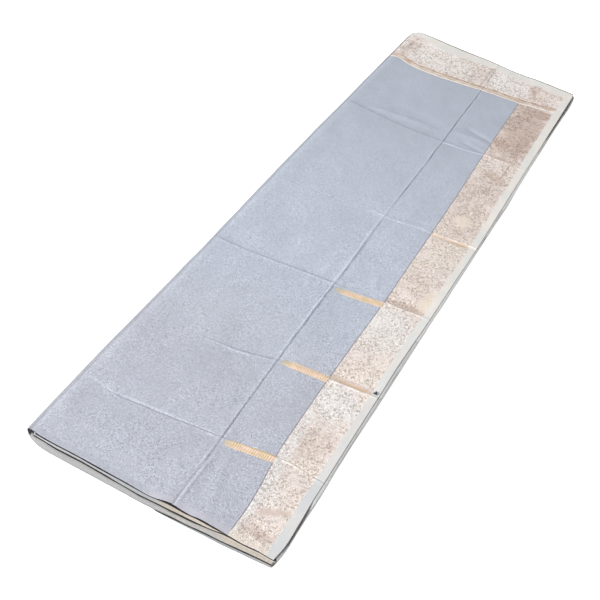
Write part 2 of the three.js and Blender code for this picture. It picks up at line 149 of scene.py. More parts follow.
CROSS_DEPTH = 1.35       # of the forms above, for stiffer cloth
LONG_FORM = [            # y, ridge, groove, drop, dip of the long crease
    (-572, 0.2, 0.6, -0.4, 0), (-520, 0.3, 0.4, -0.1, 0), (-495, 1.0, 0, 0, 0),
    (-474, 0.6, 0.4, 0.1, 0.1), (-455, 0.4, 0.7, 0.3, 0), (-420, 0.5, 0.4, 0.3, 0),
    (-330, 0.5, 0.4, 0.3, 0), (-300, 0.7, 0.5, 0.4, 0), (-230, 0.9, 0.4, 0.6, 0),
    (-146, 0.9, 0.3, 0.6, 0), (-60, 1.0, 0, 0.6, 0), (0, 0.8, 0, 0.4, 0.1),
    (40, 0.5, 0, 0.2, 0.1), (80, 0.4, 0.2, 0.1, 0), (120, 0.8, 0.4, 0.3, 0),
    (190, 0.7, 0.4, 0.3, 0), (277, 0.6, 0.5, 0.4, 0), (400, 0.4, 0.7, 0.3, 0),
    (460, 0.4, 0.7, 0.5, 0), (480, 0.8, 0.3, 1.2, 0.3), (560, 0.6, 0.3, 0.9, 0.3),
    (580, 0.3, 0.3, 0.3, 0)]
PILLOW_RISE = 1.6

# Soft wrinkles: from (x, y) to (x, y), half width, height, which is negative for a trough
WRINKLES = [
    (33, -478, 31, -562, 1.8, 0.5), (39, -488, 45, -548, 2.2, -0.4),
    (48, -476, 58, -536, 3.0, 0.35), (61, -498, 70, -560, 3.5, -0.35),
    (-2, -520, 12, -562, 3.0, -0.3), (76, -480, 84, -530, 4.0, 0.25),
    (-95, -500, -60, -560, 7.0, -0.25), (-140, -520, -118, -562, 5.0, 0.3),
    (-34, -331, -6, -326, 1.8, 0.4), (-60, -345, -20, -352, 6.0, -0.25),
    (42, 51, 92, 60, 5.0, -0.7), (-28, 58.6, 14, 65.5, 3.0, 0.4), (66, -92, 71, -122, 4.0, 0.8),
    (30, -55, 31, -122, 3.5, 0.25), (40, -100, 52, -125, 4.0, 0.3),
    (-136, 190, -136, 330, 1.5, -0.4), (-137, 330, -140, 420, 2.0, -0.2),
    (-120, 292, 5, 300, 6.5, 1.4), (-100, 318, 0, 322, 9.0, -0.5), (40, 339, 90, 331, 4.0, -1.8),
    (26, 316, 90, 320, 6.0, 1.5), (40, 301, 88, 293, 3.5, -1.6), (28, 300, 50, 304, 5.0, 0.5),
    (-40, 392, -18, 384, 3.0, 0.3), (-60, 240, -10, 232, 9.0, -0.25),
    (40, 400, 70, 372, 6.0, -0.3), (-147, 478, -143, 552, 2.0, 1.0),
    (-138, 483, -133, 556, 3.0, -1.6), (-129, 488, -127, 550, 2.5, 1.0),
    (-121, 494, -119, 548, 2.5, -0.8), (-60, 530, -20, 544, 5.0, -0.4),
    (92, 545, 108, 522, 5.0, -0.5), (60, 490, 88, 494, 4.0, 0.4),
    (103, -487, 126, -493, 1.3, -0.5), (126, -493, 134, -500, 1.3, -0.5),
    (112, -524, 144, -508, 4.5, -0.8), (110, -514, 138, -502, 3.5, 0.4),
    (104, -549, 146, -552, 5.0, -0.6), (100, 326, 112, 345, 5.0, -0.5),
    (133.5, 240, 133.5, 290, 1.4, -0.5), (108, 240, 146, 228, 6.0, -0.4),
    (110, -400, 140, -428, 8.0, -0.4), (138, 80, 142, 160, 4.0, -0.3),
    (100, 120, 125, 90, 6.0, 0.3), (112, -60, 136, -30, 7.0, -0.3),
    (104, 400, 140, 430, 7.0, -0.35), (136, 470, 148, 477, 3.0, -0.6),
]

# Where grid lines follow the cloth's own lines: nominal place, then the line it follows
CREASE_PLACE, END_INNER_PLACE, END_OUTER_PLACE, RIGHT_PLACE = 20, 92, 148, 160
COLUMN_LINES = [(FOLD_X, None), (CREASE_PLACE, LONG_CREASE), (END_INNER_PLACE, END_INNER),
                (END_OUTER_PLACE, END_OUTER), (RIGHT_PLACE, TOP_RIGHT_EDGE)]
ROWS = {"near": -571, "selvedge": -563, "c5": -460, "c4": -318, "c3": -143, "c2": 38, "c1": 280,
        "border": 466, "accent": 481, "outer": 557, "far": 577}

LOWER_NEAR_EDGE = [(-150, -572.8), (-145, -573.2), (-120, -575.6), (-85, -574.5), (-50, -575.6),
                   (-10, -576.6), (20, -575.4), (50, -575), (75, -573.8), (90, -572.6),
                   (112, -572), (143, -571.1), (152, -571.1)]

# Piles of folded layers under the top stretch, from the top. near_top and near_foot are its near
# face, as (x, y). top and foot are the heights of that face, as (x, z), and right_top and
# right_foot those of the right one, as (y, z). left is how far its near end draws back from the
# outer fold, right the edge that its right side follows, and recess how far inside that it lies.
# middle is the heights of its upper and lower face away from the edges. dark_steps is how many
# steps of its near edge take the painted shadow of the gap above it.
PILES = [
    {"name": "second_stretch", "rests_on": "hidden_layers", "layers": 3,
     "middle": (9.6, 8.8), "left": 7.0, "right": TOP_RIGHT_EDGE, "recess": 7.0, "dark_steps": 2,
     "near_top": [(-150, -571.4), (-100, -571.6), (-40, -572), (-4, -573), (5, -572.4),
                  (13, -571.6), (21, -571), (35, -571), (50, -571.2), (60, -570.6), (80, -570.6),
                  (90, -570), (96, -568), (110, -564), (152, -562)],
     "near_foot": [(-145, -572.4), (-120, -574.3), (-85, -573.2), (-50, -574.6), (-10, -576),
                   (20, -574.6), (50, -574), (75, -572.6), (93, -569.6), (110, -564.4),
                   (152, -562.4)],
     "top": [(-150, 11.5), (-40, 11.4), (0, 11.6), (10, 12.2), (25, 12.8), (47, 12.2), (49, 13.2),
             (54, 13.5), (66, 13.7), (80, 12.6), (93, 11.6), (100, 11.4)],
     "foot": [(-150, 10.2), (50, 10.2), (93, 10.6), (110, 10.2)],
     "right_top": [(-571, 11.4), (580, 11.6)], "right_foot": [(-571, 10.2), (580, 10)]},
    {"name": "third_stretch", "rests_on": "hidden_layers", "layers": 3,
     "middle": (8.6, 7.3), "left": 4.0, "right": LOWER_RIGHT_EDGE, "recess": -2.2, "dark_steps": 5,
     "near_top": [(-150, -572), (-145, -572.3), (-120, -574.3), (-85, -573.2), (-50, -574.7),
                  (-10, -576), (20, -574.7), (50, -574.1), (75, -572.6), (90, -571.2),
                  (100, -571), (112, -571), (136, -570.2), (152, -570.4)],
     "near_foot": LOWER_NEAR_EDGE,
     "top": [(-150, 8.6), (50, 8.6), (75, 9.6), (88, 11.2), (98, 12.3), (152, 12.3)],
     "foot": [(-150, 7.3), (60, 7.3), (80, 8), (93, 8.8), (152, 9)],
     "right_top": [(-571, 12.3), (-500, 12.6), (-450, 17), (330, 17), (430, 12.6), (580, 12.6)],
     "right_foot": [(-571, 9), (-540, 8.2), (-480, 7.6), (580, 7.6)]},
    {"name": "hidden_layers", "rests_on": "bottom_stretch", "layers": 6,
     "middle": (7.2, 1.5), "left": 0.0, "right": LOWER_RIGHT_EDGE, "recess": -0.7, "dark_steps": 0,
     "near_top": LOWER_NEAR_EDGE,
     "near_foot": [(-157, -571.3), (-146.6, -575.3), (-131, -577.8), (-85, -578.1), (-10, -578.3),
                   (10, -578), (30, -576.8), (60, -575.6), (90, -574.4), (115, -573.4),
                   (130, -572.5), (152, -571.8)],
     "top": [(-150, 7.26), (60, 7.26), (80, 7.96), (93, 8.76), (152, 8.96)],
     "foot": [(-150, 0.55), (2, 0.55), (10, 1.0), (20, 1.7), (30, 2.1), (60, 2.8), (90, 3.5),
              (115, 4.1), (130, 4.9), (152, 5.3)],
     "right_top": [(-571, 8.96), (-540, 8.16), (-480, 7.56), (580, 7.56)],
     "right_foot": [(-571, 5.3), (-540, 3.6), (-480, 2.6), (580, 2.2)]},
    {"name": "lower_layers", "rests_on": "bottom_stretch", "layers": 2,
     "middle": (1.3, 0.45), "left": 0.0, "right": LOWER_RIGHT_EDGE, "recess": 0.4, "dark_steps": 1,
     "near_top": [(-150, -570), (0, -574), (10, -577.6), (30, -577), (60, -575.9), (90, -574.7),
                  (115, -573.7), (130, -572.8), (152, -571.9)],
     "near_foot": [(-150, -570), (0, -574), (10, -577.9), (20, -578.4), (60, -577.5),
                   (100, -576.4), (130, -574.6), (140, -573.9), (150, -572.8)],
     "top": [(-150, 0.5), (8, 0.55), (20, 0.9), (30, 1.1), (60, 1.6), (90, 2.3), (115, 2.9),
             (130, 3.6), (152, 4)],
     "foot": [(-150, 0.4), (152, 0.4)],
     "right_top": [(-571, 4), (-540, 2.5), (-480, 1.6), (580, 1.3)],
     "right_foot": [(-571, 0.4), (580, 0.4)]},
]


def read(table, at, column=1):
    """Reads a table at one place or many, rounding its corners a little."""
    places = [row[0] for row in table]
    values = [row[column] for row in table]
    at = np.asarray(at, float)
    return sum(np.interp(at + d, places, values) for d in (-4, -2, 0, 2, 4)) / 5


def noise(x, y, size_x, size_y, seed):
    """Smooth noise from -1 to 1 whose features have the given sizes."""
    lattice = np.random.default_rng(seed).uniform(-1, 1, (128, 128))
    u = np.asarray(x, float) / size_x + 500
    v = np.asarray(y, float) / size_y + 500
    i, j = np.floor(u).astype(int), np.floor(v).astype(int)
    s, t = u - i, v - j
    s, t = s * s * (3 - 2 * s), t * t * (3 - 2 * t)
    at = lambda a, b: lattice[a % 128, b % 128]
    low = at(i, j) * (1 - s) + at(i + 1, j) * s
    high = at(i, j + 1) * (1 - s) + at(i + 1, j + 1) * s
    return low * (1 - t) + high * t


def bell(distance, width):
    return np.exp(-(distance / width) ** 2)


def ease(value):
    value = np.clip(value, 0, 1)
    return value * value * (3 - 2 * value)


def crease_y(crease, x):
    return read(CROSS_CREASES[crease]["line"], x)


def crease_relief(distance, ridge, groove, drop, dip, reach):
    """A ridge, a sharp groove behind it, a drop of the cloth behind and a dip before both."""
    behind, before = np.clip(distance, 0, None), np.clip(-distance, 0, None)
    relief = ridge * bell(distance + 1.1, RIDGE_WIDTH) - groove * bell(distance - 0.6, GROOVE_WIDTH)
    relief = relief - drop * (1 - np.exp(-behind / reach)) * np.exp(-behind / 45)
    return relief - dip * bell(before - 4.5, 0.6 * DIP_REACH) * (distance < 0)


def pillows(x, y):
    """The cloth lies up a little between two cross creases."""
    lines = [read(TOP_NEAR_EDGE, x)]
    lines += [crease_y(c, x) for c in CROSS_CREASES]
    lines += [read(FAR_EDGE, x)]
    rise = np.zeros_like(y)
    for low, high in zip(lines[:-1], lines[1:]):
        share = np.clip((y - low) / (high - low), 0, 1)
        rise += np.where((y >= low) & (y < high), np.sin(np.pi * share), 0)
    return PILLOW_RISE * rise * (0.8 + 0.3 * noise(x, y, 120, 200, 3))


def wrinkle(x, y, x0, y0, x1, y1, half, height):
    """A soft ridge or trough along a short line, which fades towards both its ends."""
    length = math.hypot(x1 - x0, y1 - y0)
    share = ((x - x0) * (x1 - x0) + (y - y0) * (y1 - y0)) / length ** 2
    across = ((x - x0) * (y1 - y0) - (y - y0) * (x1 - x0)) / length
    bent = across + 0.25 * half * np.sin(3.1 * share + x0)
    fade = ease((share + 0.12) / 0.35) * ease((1.12 - share) / 0.35)
    return height * bell(bent, half) * fade


def unevenness(x, y):
    """Soft unevenness everywhere, and more of it where the cloth is stiff with metal thread."""
    rise = 0.9 * noise(x, y, 60, 85, 11) + 0.28 * noise(x, y, 24, 30, 12)
    rise = rise + 0.28 * ease((y - 478) / 12) * noise(x, y, 14, 12, 14)
    rise = rise + 0.28 * ease((x - 94) / 8) * ease((148 - x) / 8) * noise(x, y, 15, 11, 15)
    for row in WRINKLES:
        rise = rise + wrinkle(x, y, *row)
    return rise


def near_lift(x, y):
    inward = np.clip(y - read(TOP_NEAR_EDGE, x), 0, None)
    return read(NEAR_LIFT, x) * np.clip(1 - inward / LIFT_REACH, 0, None) ** 2


def top_height(x, y):
    """Height of the top stretch's outer face."""
    wander = 0.5 * noise(y, 0 * y, 35, 1, 21) + 0.3 * noise(y, 0 * y, 9, 1, 23)
    across = x - read(LONG_CREASE, y) - wander
    uneven = 1 + (0.35 + 0.3 * ease((y - 60) / 80)) * noise(y, 0 * y, 13, 1, 20)
    form = [read(LONG_FORM, y, column) for column in (1, 2, 3, 4)]
    height = STACK_HEIGHT + uneven * crease_relief(across, *form, LONG_DROP_REACH)
    for k, (name, crease) in enumerate(CROSS_CREASES.items()):
        wander = 0.5 * noise(x, 0 * x, 30, 1, 22 + k)
        uneven = CROSS_DEPTH * (1 + 0.25 * noise(x, 0 * x, 15, 1, 62 + k))
        form = [uneven * read(crease["form"], x, column) for column in (1, 2, 3, 4)]
        height = height + crease_relief(y - crease_y(name, x) - wander, *form, crease["reach"])
    return height + pillows(x, y) + unevenness(x, y) + near_lift(x, y)


def row_line(name, x):
    """The y of the cloth's line that a nominal row follows."""
    near, border = read(TOP_NEAR_EDGE, x), read(BORDER_INNER, x)
    lines = {"near": near, "selvedge": near + SELVEDGE_WIDTH, "border": border,
             "accent": border + ACCENT_WIDTH, "outer": read(BORDER_OUTER, x),
             "far": read(FAR_EDGE, x)}
    return lines[name] if name in lines else crease_y(name, x)


def hats(places, at):
    """For each place, the weight that it has at each position, from 0 to 1."""
    return np.array([np.interp(at, places, row) for row in np.eye(len(places))]).T


def bent_rows(x, rows):
    """The y of nominal rows at each x, since they bend with the cloth's lines."""
    shift = np.array([row_line(name, x) - place for name, place in ROWS.items()])
    return np.asarray(rows, float)[:, None] + hats(list(ROWS.values()), rows) @ shift


def top_grid(columns, rows):
    """Points of the top stretch on nominal columns and rows, which bend with the cloth's lines."""
    x = np.asarray(columns, float)
    y = bent_rows(x, rows)
    places = [place for place, _ in COLUMN_LINES]
    weights = hats(places, columns)
    moved = np.broadcast_to(x, y.shape).copy()
    for k, (place, line) in enumerate(COLUMN_LINES):
        if line is not None:
            moved += weights[:, k] * (read(line, y) - place)
    return moved, y


def fold_grid(rows):
    """Points of the outer fold, from its lower seam round to the top, for nominal rows."""
    share = np.arange(FOLD_STEPS) / FOLD_STEPS
    y = np.broadcast_to(bent_rows(np.full(1, FOLD_X - 8), rows), (len(rows), FOLD_STEPS))
    reach = FOLD_X - read(LEFT_SILHOUETTE, y) + 0.35 * noise(y, 0 * y, 45, 1, 31)
    angle = np.pi * (share - 0.5)
    bend = lambda value: np.sign(value) * np.abs(value) ** (2 / FOLD_SQUARENESS)
    middle = STACK_HEIGHT / 2
    rise = (top_height(np.full_like(y, FOLD_X), y) - STACK_HEIGHT) * share ** 4
    z = middle + middle * bend(np.sin(angle)) + rise
    near_end = 1 - ease((y + 572) / 30)
    y = y + near_end * (3.2 * np.sin(np.pi * share) - 0.8 * (1 - share))
    return np.stack([FOLD_X - reach * bend(np.cos(angle)), y, z], axis=-1)


def outer_points(columns, rows, with_fold):
    x, y = top_grid(columns, rows)
    points = np.stack([x, y, top_height(x, y)], axis=-1)
    if with_fold:
        points = np.concatenate([fold_grid(rows), points], axis=1)
    return points


def grid_normals(points):
    across = np.gradient(points, axis=1)
    along = np.gradient(points, axis=0)
    normal = np.cross(across, along)
    return normal / np.linalg.norm(normal, axis=-1, keepdims=True)


def add_object(name, data):
    made = bpy.data.objects.new(name, data)
    bpy.context.scene.collection.objects.link(made)
    return made


def make_object(name, vertices, faces, flat_faces=()):
    """A mesh object; faces from the flat set aren't smoothed."""
    mesh = bpy.data.meshes.new(name)
    mesh.from_pydata((np.asarray(vertices) * MM).tolist(), [], list(faces) + list(flat_faces))
    smooth = np.ones(len(mesh.polygons), bool)
    smooth[len(faces):] = False
    mesh.polygons.foreach_set("use_smooth", smooth)
    mesh.update()
    if flat_faces:
        edge_of = {tuple(sorted(e.vertices)): e.index for e in mesh.edges}
        sharp = np.zeros(len(mesh.edges), bool)
        for a, b, c, d in flat_faces:
            for pair in ((a, b), (b, c), (c, d), (d, a)):
                sharp[edge_of[tuple(sorted(pair))]] = True
        mesh.edges.foreach_set("use_edge_sharp", sharp)
    return add_object(name, mesh)


def shell(name, outer, wall=CLOTH, woven=None):
    """A thin closed shell: its outer face through a grid of points, its inner one a wall below.
    woven gives the points' places in the flat cloth, for lines that follow the weave."""
    down, across = outer.shape[:2]
    inner = outer - wall * grid_normals(outer)
    count = down * across
    number = np.arange(count).reshape(down, across)
    a, b = number[:-1, :-1].ravel(), number[:-1, 1:].ravel()
    c, d = number[1:, 1:].ravel(), number[1:, :-1].ravel()
    faces = np.concatenate([np.stack([a, b, c, d], 1), count + np.stack([a, d, c, b], 1)])
    loop = np.concatenate([number[0, :-1], number[:-1, -1], number[-1, :0:-1], number[:0:-1, 0]])
    after = np.roll(loop, -1)
    rim = np.stack([after, loop, count + loop, count + after], 1)
    points = np.concatenate([outer.reshape(-1, 3), inner.reshape(-1, 3)])
    made = make_object(name, points, faces.tolist(), rim.tolist())
    if woven is not None:
        columns, rows = np.meshgrid(*woven)
        places = np.stack([columns, rows, 0 * rows], axis=-1).reshape(-1, 3)
        attribute = made.data.attributes.new("woven_place", "FLOAT_VECTOR", "POINT")
        attribute.data.foreach_set("vector", np.concatenate([places, places]).ravel())
    return made


def spaced(low, high, step, dense=(), dense_step=1.0, reach=8.0):
    """Places from low to high, a step apart, and closer within reach of the dense ones."""
    places = [low]
    while places[-1] < high:
        near = any(abs(places[-1] - d) < reach + step for d in dense)
        places.append(places[-1] + (dense_step if near else step))
    places[-1] = high
    if len(places) > 2 and high - places[-2] < 0.4 * step:
        places.pop(-2)
    return np.array(places)


def join_places(*parts):
    """One run of places from several, each of which starts where the one before it ends."""
    return np.concatenate([parts[0]] + [part[1:] for part in parts[1:]])


CREASE_ROWS = [ROWS[c] for c in CROSS_CREASES]
BODY_COLUMNS = join_places(spaced(FOLD_X, 14, 3.5), spaced(14, 27, 0.75),
                           spaced(27, END_INNER_PLACE, 2.1))
END_COLUMNS = spaced(END_INNER_PLACE, END_OUTER_PLACE, 1.9)
STRIP_COLUMNS = spaced(END_OUTER_PLACE, RIGHT_PLACE, 1.7)
BODY_ROWS = spaced(ROWS["selvedge"], ROWS["border"], 3.3, dense=CREASE_ROWS, dense_step=0.8,
                   reach=2.5)
SELVEDGE_ROWS = spaced(ROWS["near"], ROWS["selvedge"], 1.3)
BORDER_ROWS = spaced(ROWS["accent"], ROWS["outer"], 2.0)
FAR_ROWS = spaced(ROWS["outer"], ROWS["far"] - FAR_SHADE_WIDTH, 2.0)
FAR_SHADE_ROWS = spaced(ROWS["far"] - FAR_SHADE_WIDTH, ROWS["far"], 0.6)
CREAM_ROWS = spaced(ROWS["border"], ROWS["border"] + CREAM_LINE, 0.8)
BROWN_ROWS = spaced(ROWS["accent"] - BROWN_LINE, ROWS["accent"], 0.65)
RIB_ROWS = spaced(CREAM_ROWS[-1], BROWN_ROWS[0], 1.3)


# ---------------------------------------------------------------- materials

class Field:
    """A number that varies over a surface. Arithmetic on fields makes shader nodes."""

    def __init__(self, nodes, socket):
        self.nodes = nodes
        self.socket = socket

    def __add__(self, other):
        return self.nodes.math("ADD", self, other)

    def __sub__(self, other):
        return self.nodes.math("SUBTRACT", self, other)

    def __rsub__(self, other):
        return self.nodes.math("SUBTRACT", other, self)

    def __mul__(self, other):
        return self.nodes.math("MULTIPLY", self, other)

    def __truediv__(self, other):
        return self.nodes.math("DIVIDE", self, other)

    def __abs__(self):
        return self.nodes.math("ABSOLUTE", self)

    __radd__ = __add__
    __rmul__ = __mul__


class Nodes:
    """Short calls for a material's node tree. Places in it are in millimetres."""

    def __init__(self, name):
        self.material = bpy.data.materials.new(name)
        self.material.use_nodes = True
        self.tree = self.material.node_tree
        self.shader = self.tree.nodes["Principled BSDF"]
        coordinates = self.tree.nodes.new("ShaderNodeTexCoord")
        self.place = self.scaled(coordinates.outputs["Object"], 1 / MM)
        self.x, self.y, self.z = self.separate(self.place)

    def link(self, source, socket):
        if isinstance(source, Field):
            source = source.socket
        if hasattr(source, "links"):
            self.tree.links.new(source, socket)
        else:
            socket.default_value = source

    def node(self, kind, inputs, **settings):
        made = self.tree.nodes.new(kind)
        for key, value in settings.items():
            setattr(made, key, value)
        for key, value in inputs.items():
            self.link(value, made.inputs[key])
        return made

    def math(self, operation, a, b=0.0):
        made = self.node("ShaderNodeMath", {0: a, 1: b}, operation=operation)
        return Field(self, made.outputs[0])

    def larger(self, a, b):
        return self.math("MAXIMUM", a, b)

    def fraction(self, value):
        return self.math("FRACT", value)

    def vector(self, operation, a, b):
        return self.node("ShaderNodeVectorMath", {0: a, 1: b}, operation=operation).outputs[0]

    def scaled(self, vector, factor):
        """A vector or a colour times a number."""
        node = self.node("ShaderNodeVectorMath", {0: vector, 3: factor}, operation="SCALE")
        return node.outputs[0]

    def separate(self, vector):
        axes = self.node("ShaderNodeSeparateXYZ", {"Vector": vector})
        return [Field(self, axis) for axis in axes.outputs]

    def length(self, x, y):
        vector = self.node("ShaderNodeCombineXYZ", {"X": x, "Y": y}).outputs[0]
        made = self.node("ShaderNodeVectorMath", {0: vector}, operation="LENGTH")
        return Field(self, made.outputs["Value"])

    def woven(self):
        """Column and row in the flat cloth, on the pieces that have them."""
        attribute = self.node("ShaderNodeAttribute", {}, attribute_name="woven_place")
        return self.separate(attribute.outputs["Vector"])[:2]

    def noise_node(self, x, y, z=0.02, detail=2, roughness=0.5):
        inputs = {"Vector": self.vector("MULTIPLY", self.place, (x, y, z)), "Scale": 1.0,
                  "Detail": detail, "Roughness": roughness}
        return self.node("ShaderNodeTexNoise", inputs)

    def noise(self, *sizes, **settings):
        """Noise from 0 to 1, with about that many features per millimetre each way."""
        return Field(self, self.noise_node(*sizes, **settings).outputs["Fac"])

    def window(self, value, low, high):
        """0 before low, 1 past high, smooth between."""
        inputs = {"Value": value, "From Min": low, "From Max": high}
        made = self.node("ShaderNodeMapRange", inputs, interpolation_type="SMOOTHSTEP")
        return Field(self, made.outputs["Result"])

    def line(self, distance, width):
        """1 on a drawn line, 0 beyond its width."""
        return 1.0 - self.window(abs(distance), 0.3 * width, width)

    def contours(self, value, count, width):
        """Lines along a field's heights, which curl where it is noise."""
        return self.line(self.fraction(value * count) - 0.5, width)

    def wave(self, value, pitch):
        """0 to 1 and back over each pitch."""
        return self.math("SINE", value * (2 * math.pi / pitch)) * 0.5 + 0.5

    def weave(self, pitch_x, pitch_y):
        """Over and under of plain weave, 0 to 1."""
        across, along = self.wave(self.x, pitch_x), self.wave(self.y, pitch_y)
        return across * along + (1.0 - across) * (1.0 - along)

    def mix(self, share, a, b):
        inputs = {0: share, 6: rgba(a), 7: rgba(b)}
        return self.node("ShaderNodeMix", inputs, data_type="RGBA").outputs[2]

    def bump(self, height, depth):
        """depth is in millimetres for a height that runs from 0 to 1."""
        inputs = {"Height": height, "Distance": depth * MM, "Strength": 1.0}
        bumped = self.node("ShaderNodeBump", inputs).outputs["Normal"]
        self.link(bumped, self.shader.inputs["Normal"])

    def finish(self, colour, roughness, metallic=0.0, sheen=0.0, specular=0.4):
        values = {"Base Color": rgba(colour), "Roughness": roughness, "Metallic": metallic,
                  "Sheen Weight": sheen, "Sheen Roughness": 0.4, "Specular IOR Level": specular}
        for name, value in values.items():
            self.link(value, self.shader.inputs[name])
        return self.material


def rgba(colour):
    if hasattr(colour, "links"):
        return colour
    return tuple(colour) + (1.0,)


def srgb(red, green, blue):
    """A colour given as it looks, 0 to 255, in the linear numbers that shaders take."""
    bend = lambda c: c / 12.92 if c <= 0.04045 else ((c + 0.055) / 1.055) ** 2.4
    return tuple(bend(c / 255) for c in (red, green, blue))


def centred(value, amount):
    """A noise value as a change of that amount each way."""
    return value * (2 * amount) - amount


BODY_NEAR = srgb(165, 168, 178)
BODY_MID = srgb(167, 173, 185)
BODY_FAR = srgb(160, 166, 178)
SEAM_SHADE = srgb(104, 90, 98)         # where the body meets the end panel and the border
FOLD_SHADE = srgb(104, 102, 104)


def edge_shade(n, colour):
    """The outer fold looks a little darker where it turns under."""
    column, _ = n.woven()
    under = (1.0 - n.window(n.z, 7.0, 12.0)) * (1.0 - n.window(n.x, -154, -150)) * 0.6
    turned = n.window(column, -150.3, -153.3) * (n.window(n.y, 360, 470) * 0.35 + 0.45)
    return n.mix(n.larger(under, turned), colour, FOLD_SHADE)


# Painted shade along the creases, dark lines drawn in the flat cloth: whether it runs along a row,
# the row or column, from, to, half width, share
CREASE_SHADE_LINES = [
    (True, 280, -150, 14, 2.2, 0.30), (True, 281, 28, 88, 1.3, 0.2),
    (True, -460, -96, -28, 1.0, 0.26), (True, -143, -145, 14, 1.5, 0.14),
    (True, -318, -20, 18, 1.5, 0.18), (False, 20, 60, 466, 1.1, 0.22),
    (False, 20, -455, -300, 0.8, 0.2), (False, 25.5, -560, -500, 0.8, 0.2),
]


def painted_crease_shade(n, column, row):
    """How much painted shade darkens the cloth along each crease, from 0, none, with breaks along
    each line.
    """
    broken = n.window(n.noise(0.12, 0.12), 0.3, 0.55)
    ragged_edge_or_shade = 0.0
    for along_row, at, start, end, width, share in CREASE_SHADE_LINES:
        across, along = (row, column) if along_row else (column, row)
        span = n.window(along, start - 10, start + 10) * n.window(along, end + 6, end - 6)
        ragged_edge_or_shade = n.larger(ragged_edge_or_shade, n.line(across - at, width) * span * share)
    return ragged_edge_or_shade * (broken * 0.6 + 0.4)


def body_silk():
    """Plain silk whose uneven threads show as short pale slubs both ways."""
    n = Nodes("body_silk")
    column, row = n.woven()
    warp = n.noise(2.0, 0.35, roughness=0.6)
    weft = n.noise(0.35, 2.0, roughness=0.6)
    grain = n.noise(1.45, 1.2, detail=1, roughness=0.6)
    curls = n.contours(n.noise(0.3, 0.3, roughness=0.6), 7.0, 0.25)
    near = 1.0 - n.window(n.y, -150, 420)
    clear = n.window(n.noise(0.025, 0.02, roughness=0.6), 0.36, 0.6)
    amount = (near * 0.65 + 0.35) * (clear * 0.35 + 0.62)
    texture = centred(n.window(warp, 0.34, 0.66), 0.18) + centred(n.window(weft, 0.34, 0.66), 0.18)
    texture = texture + n.window(grain, 0.52, 0.62) * 0.55 - n.window(grain, 0.46, 0.36) * 0.36
    texture = texture + curls * 0.06
    tone = texture * amount + 0.975 + centred(n.noise(0.045, 0.03), 0.06)
    # Painted shade along the creases darkens the tone here.
    tone = tone * (1.0 - painted_crease_shade(n, column, row))
    cloudy = centred(n.noise(0.011, 0.011, detail=3), 0.4)
    base = n.mix(cloudy + n.window(n.y, -380, -120), BODY_NEAR, BODY_MID)
    base = n.mix(cloudy + n.window(n.y, -40, 420), base, BODY_FAR)
    seam = n.larger(n.window(column, 90.6, 91.2), n.window(row, 464.8, 465.6))
    base = n.mix(seam * 0.75, base, SEAM_SHADE)
    n.bump(grain * 1.6 + (warp + weft) * 0.9 + n.weave(0.7, 0.7) * 0.3, 0.24)
    return n.finish(edge_shade(n, n.scaled(base, tone)), 0.6, sheen=0.1, specular=0.3)


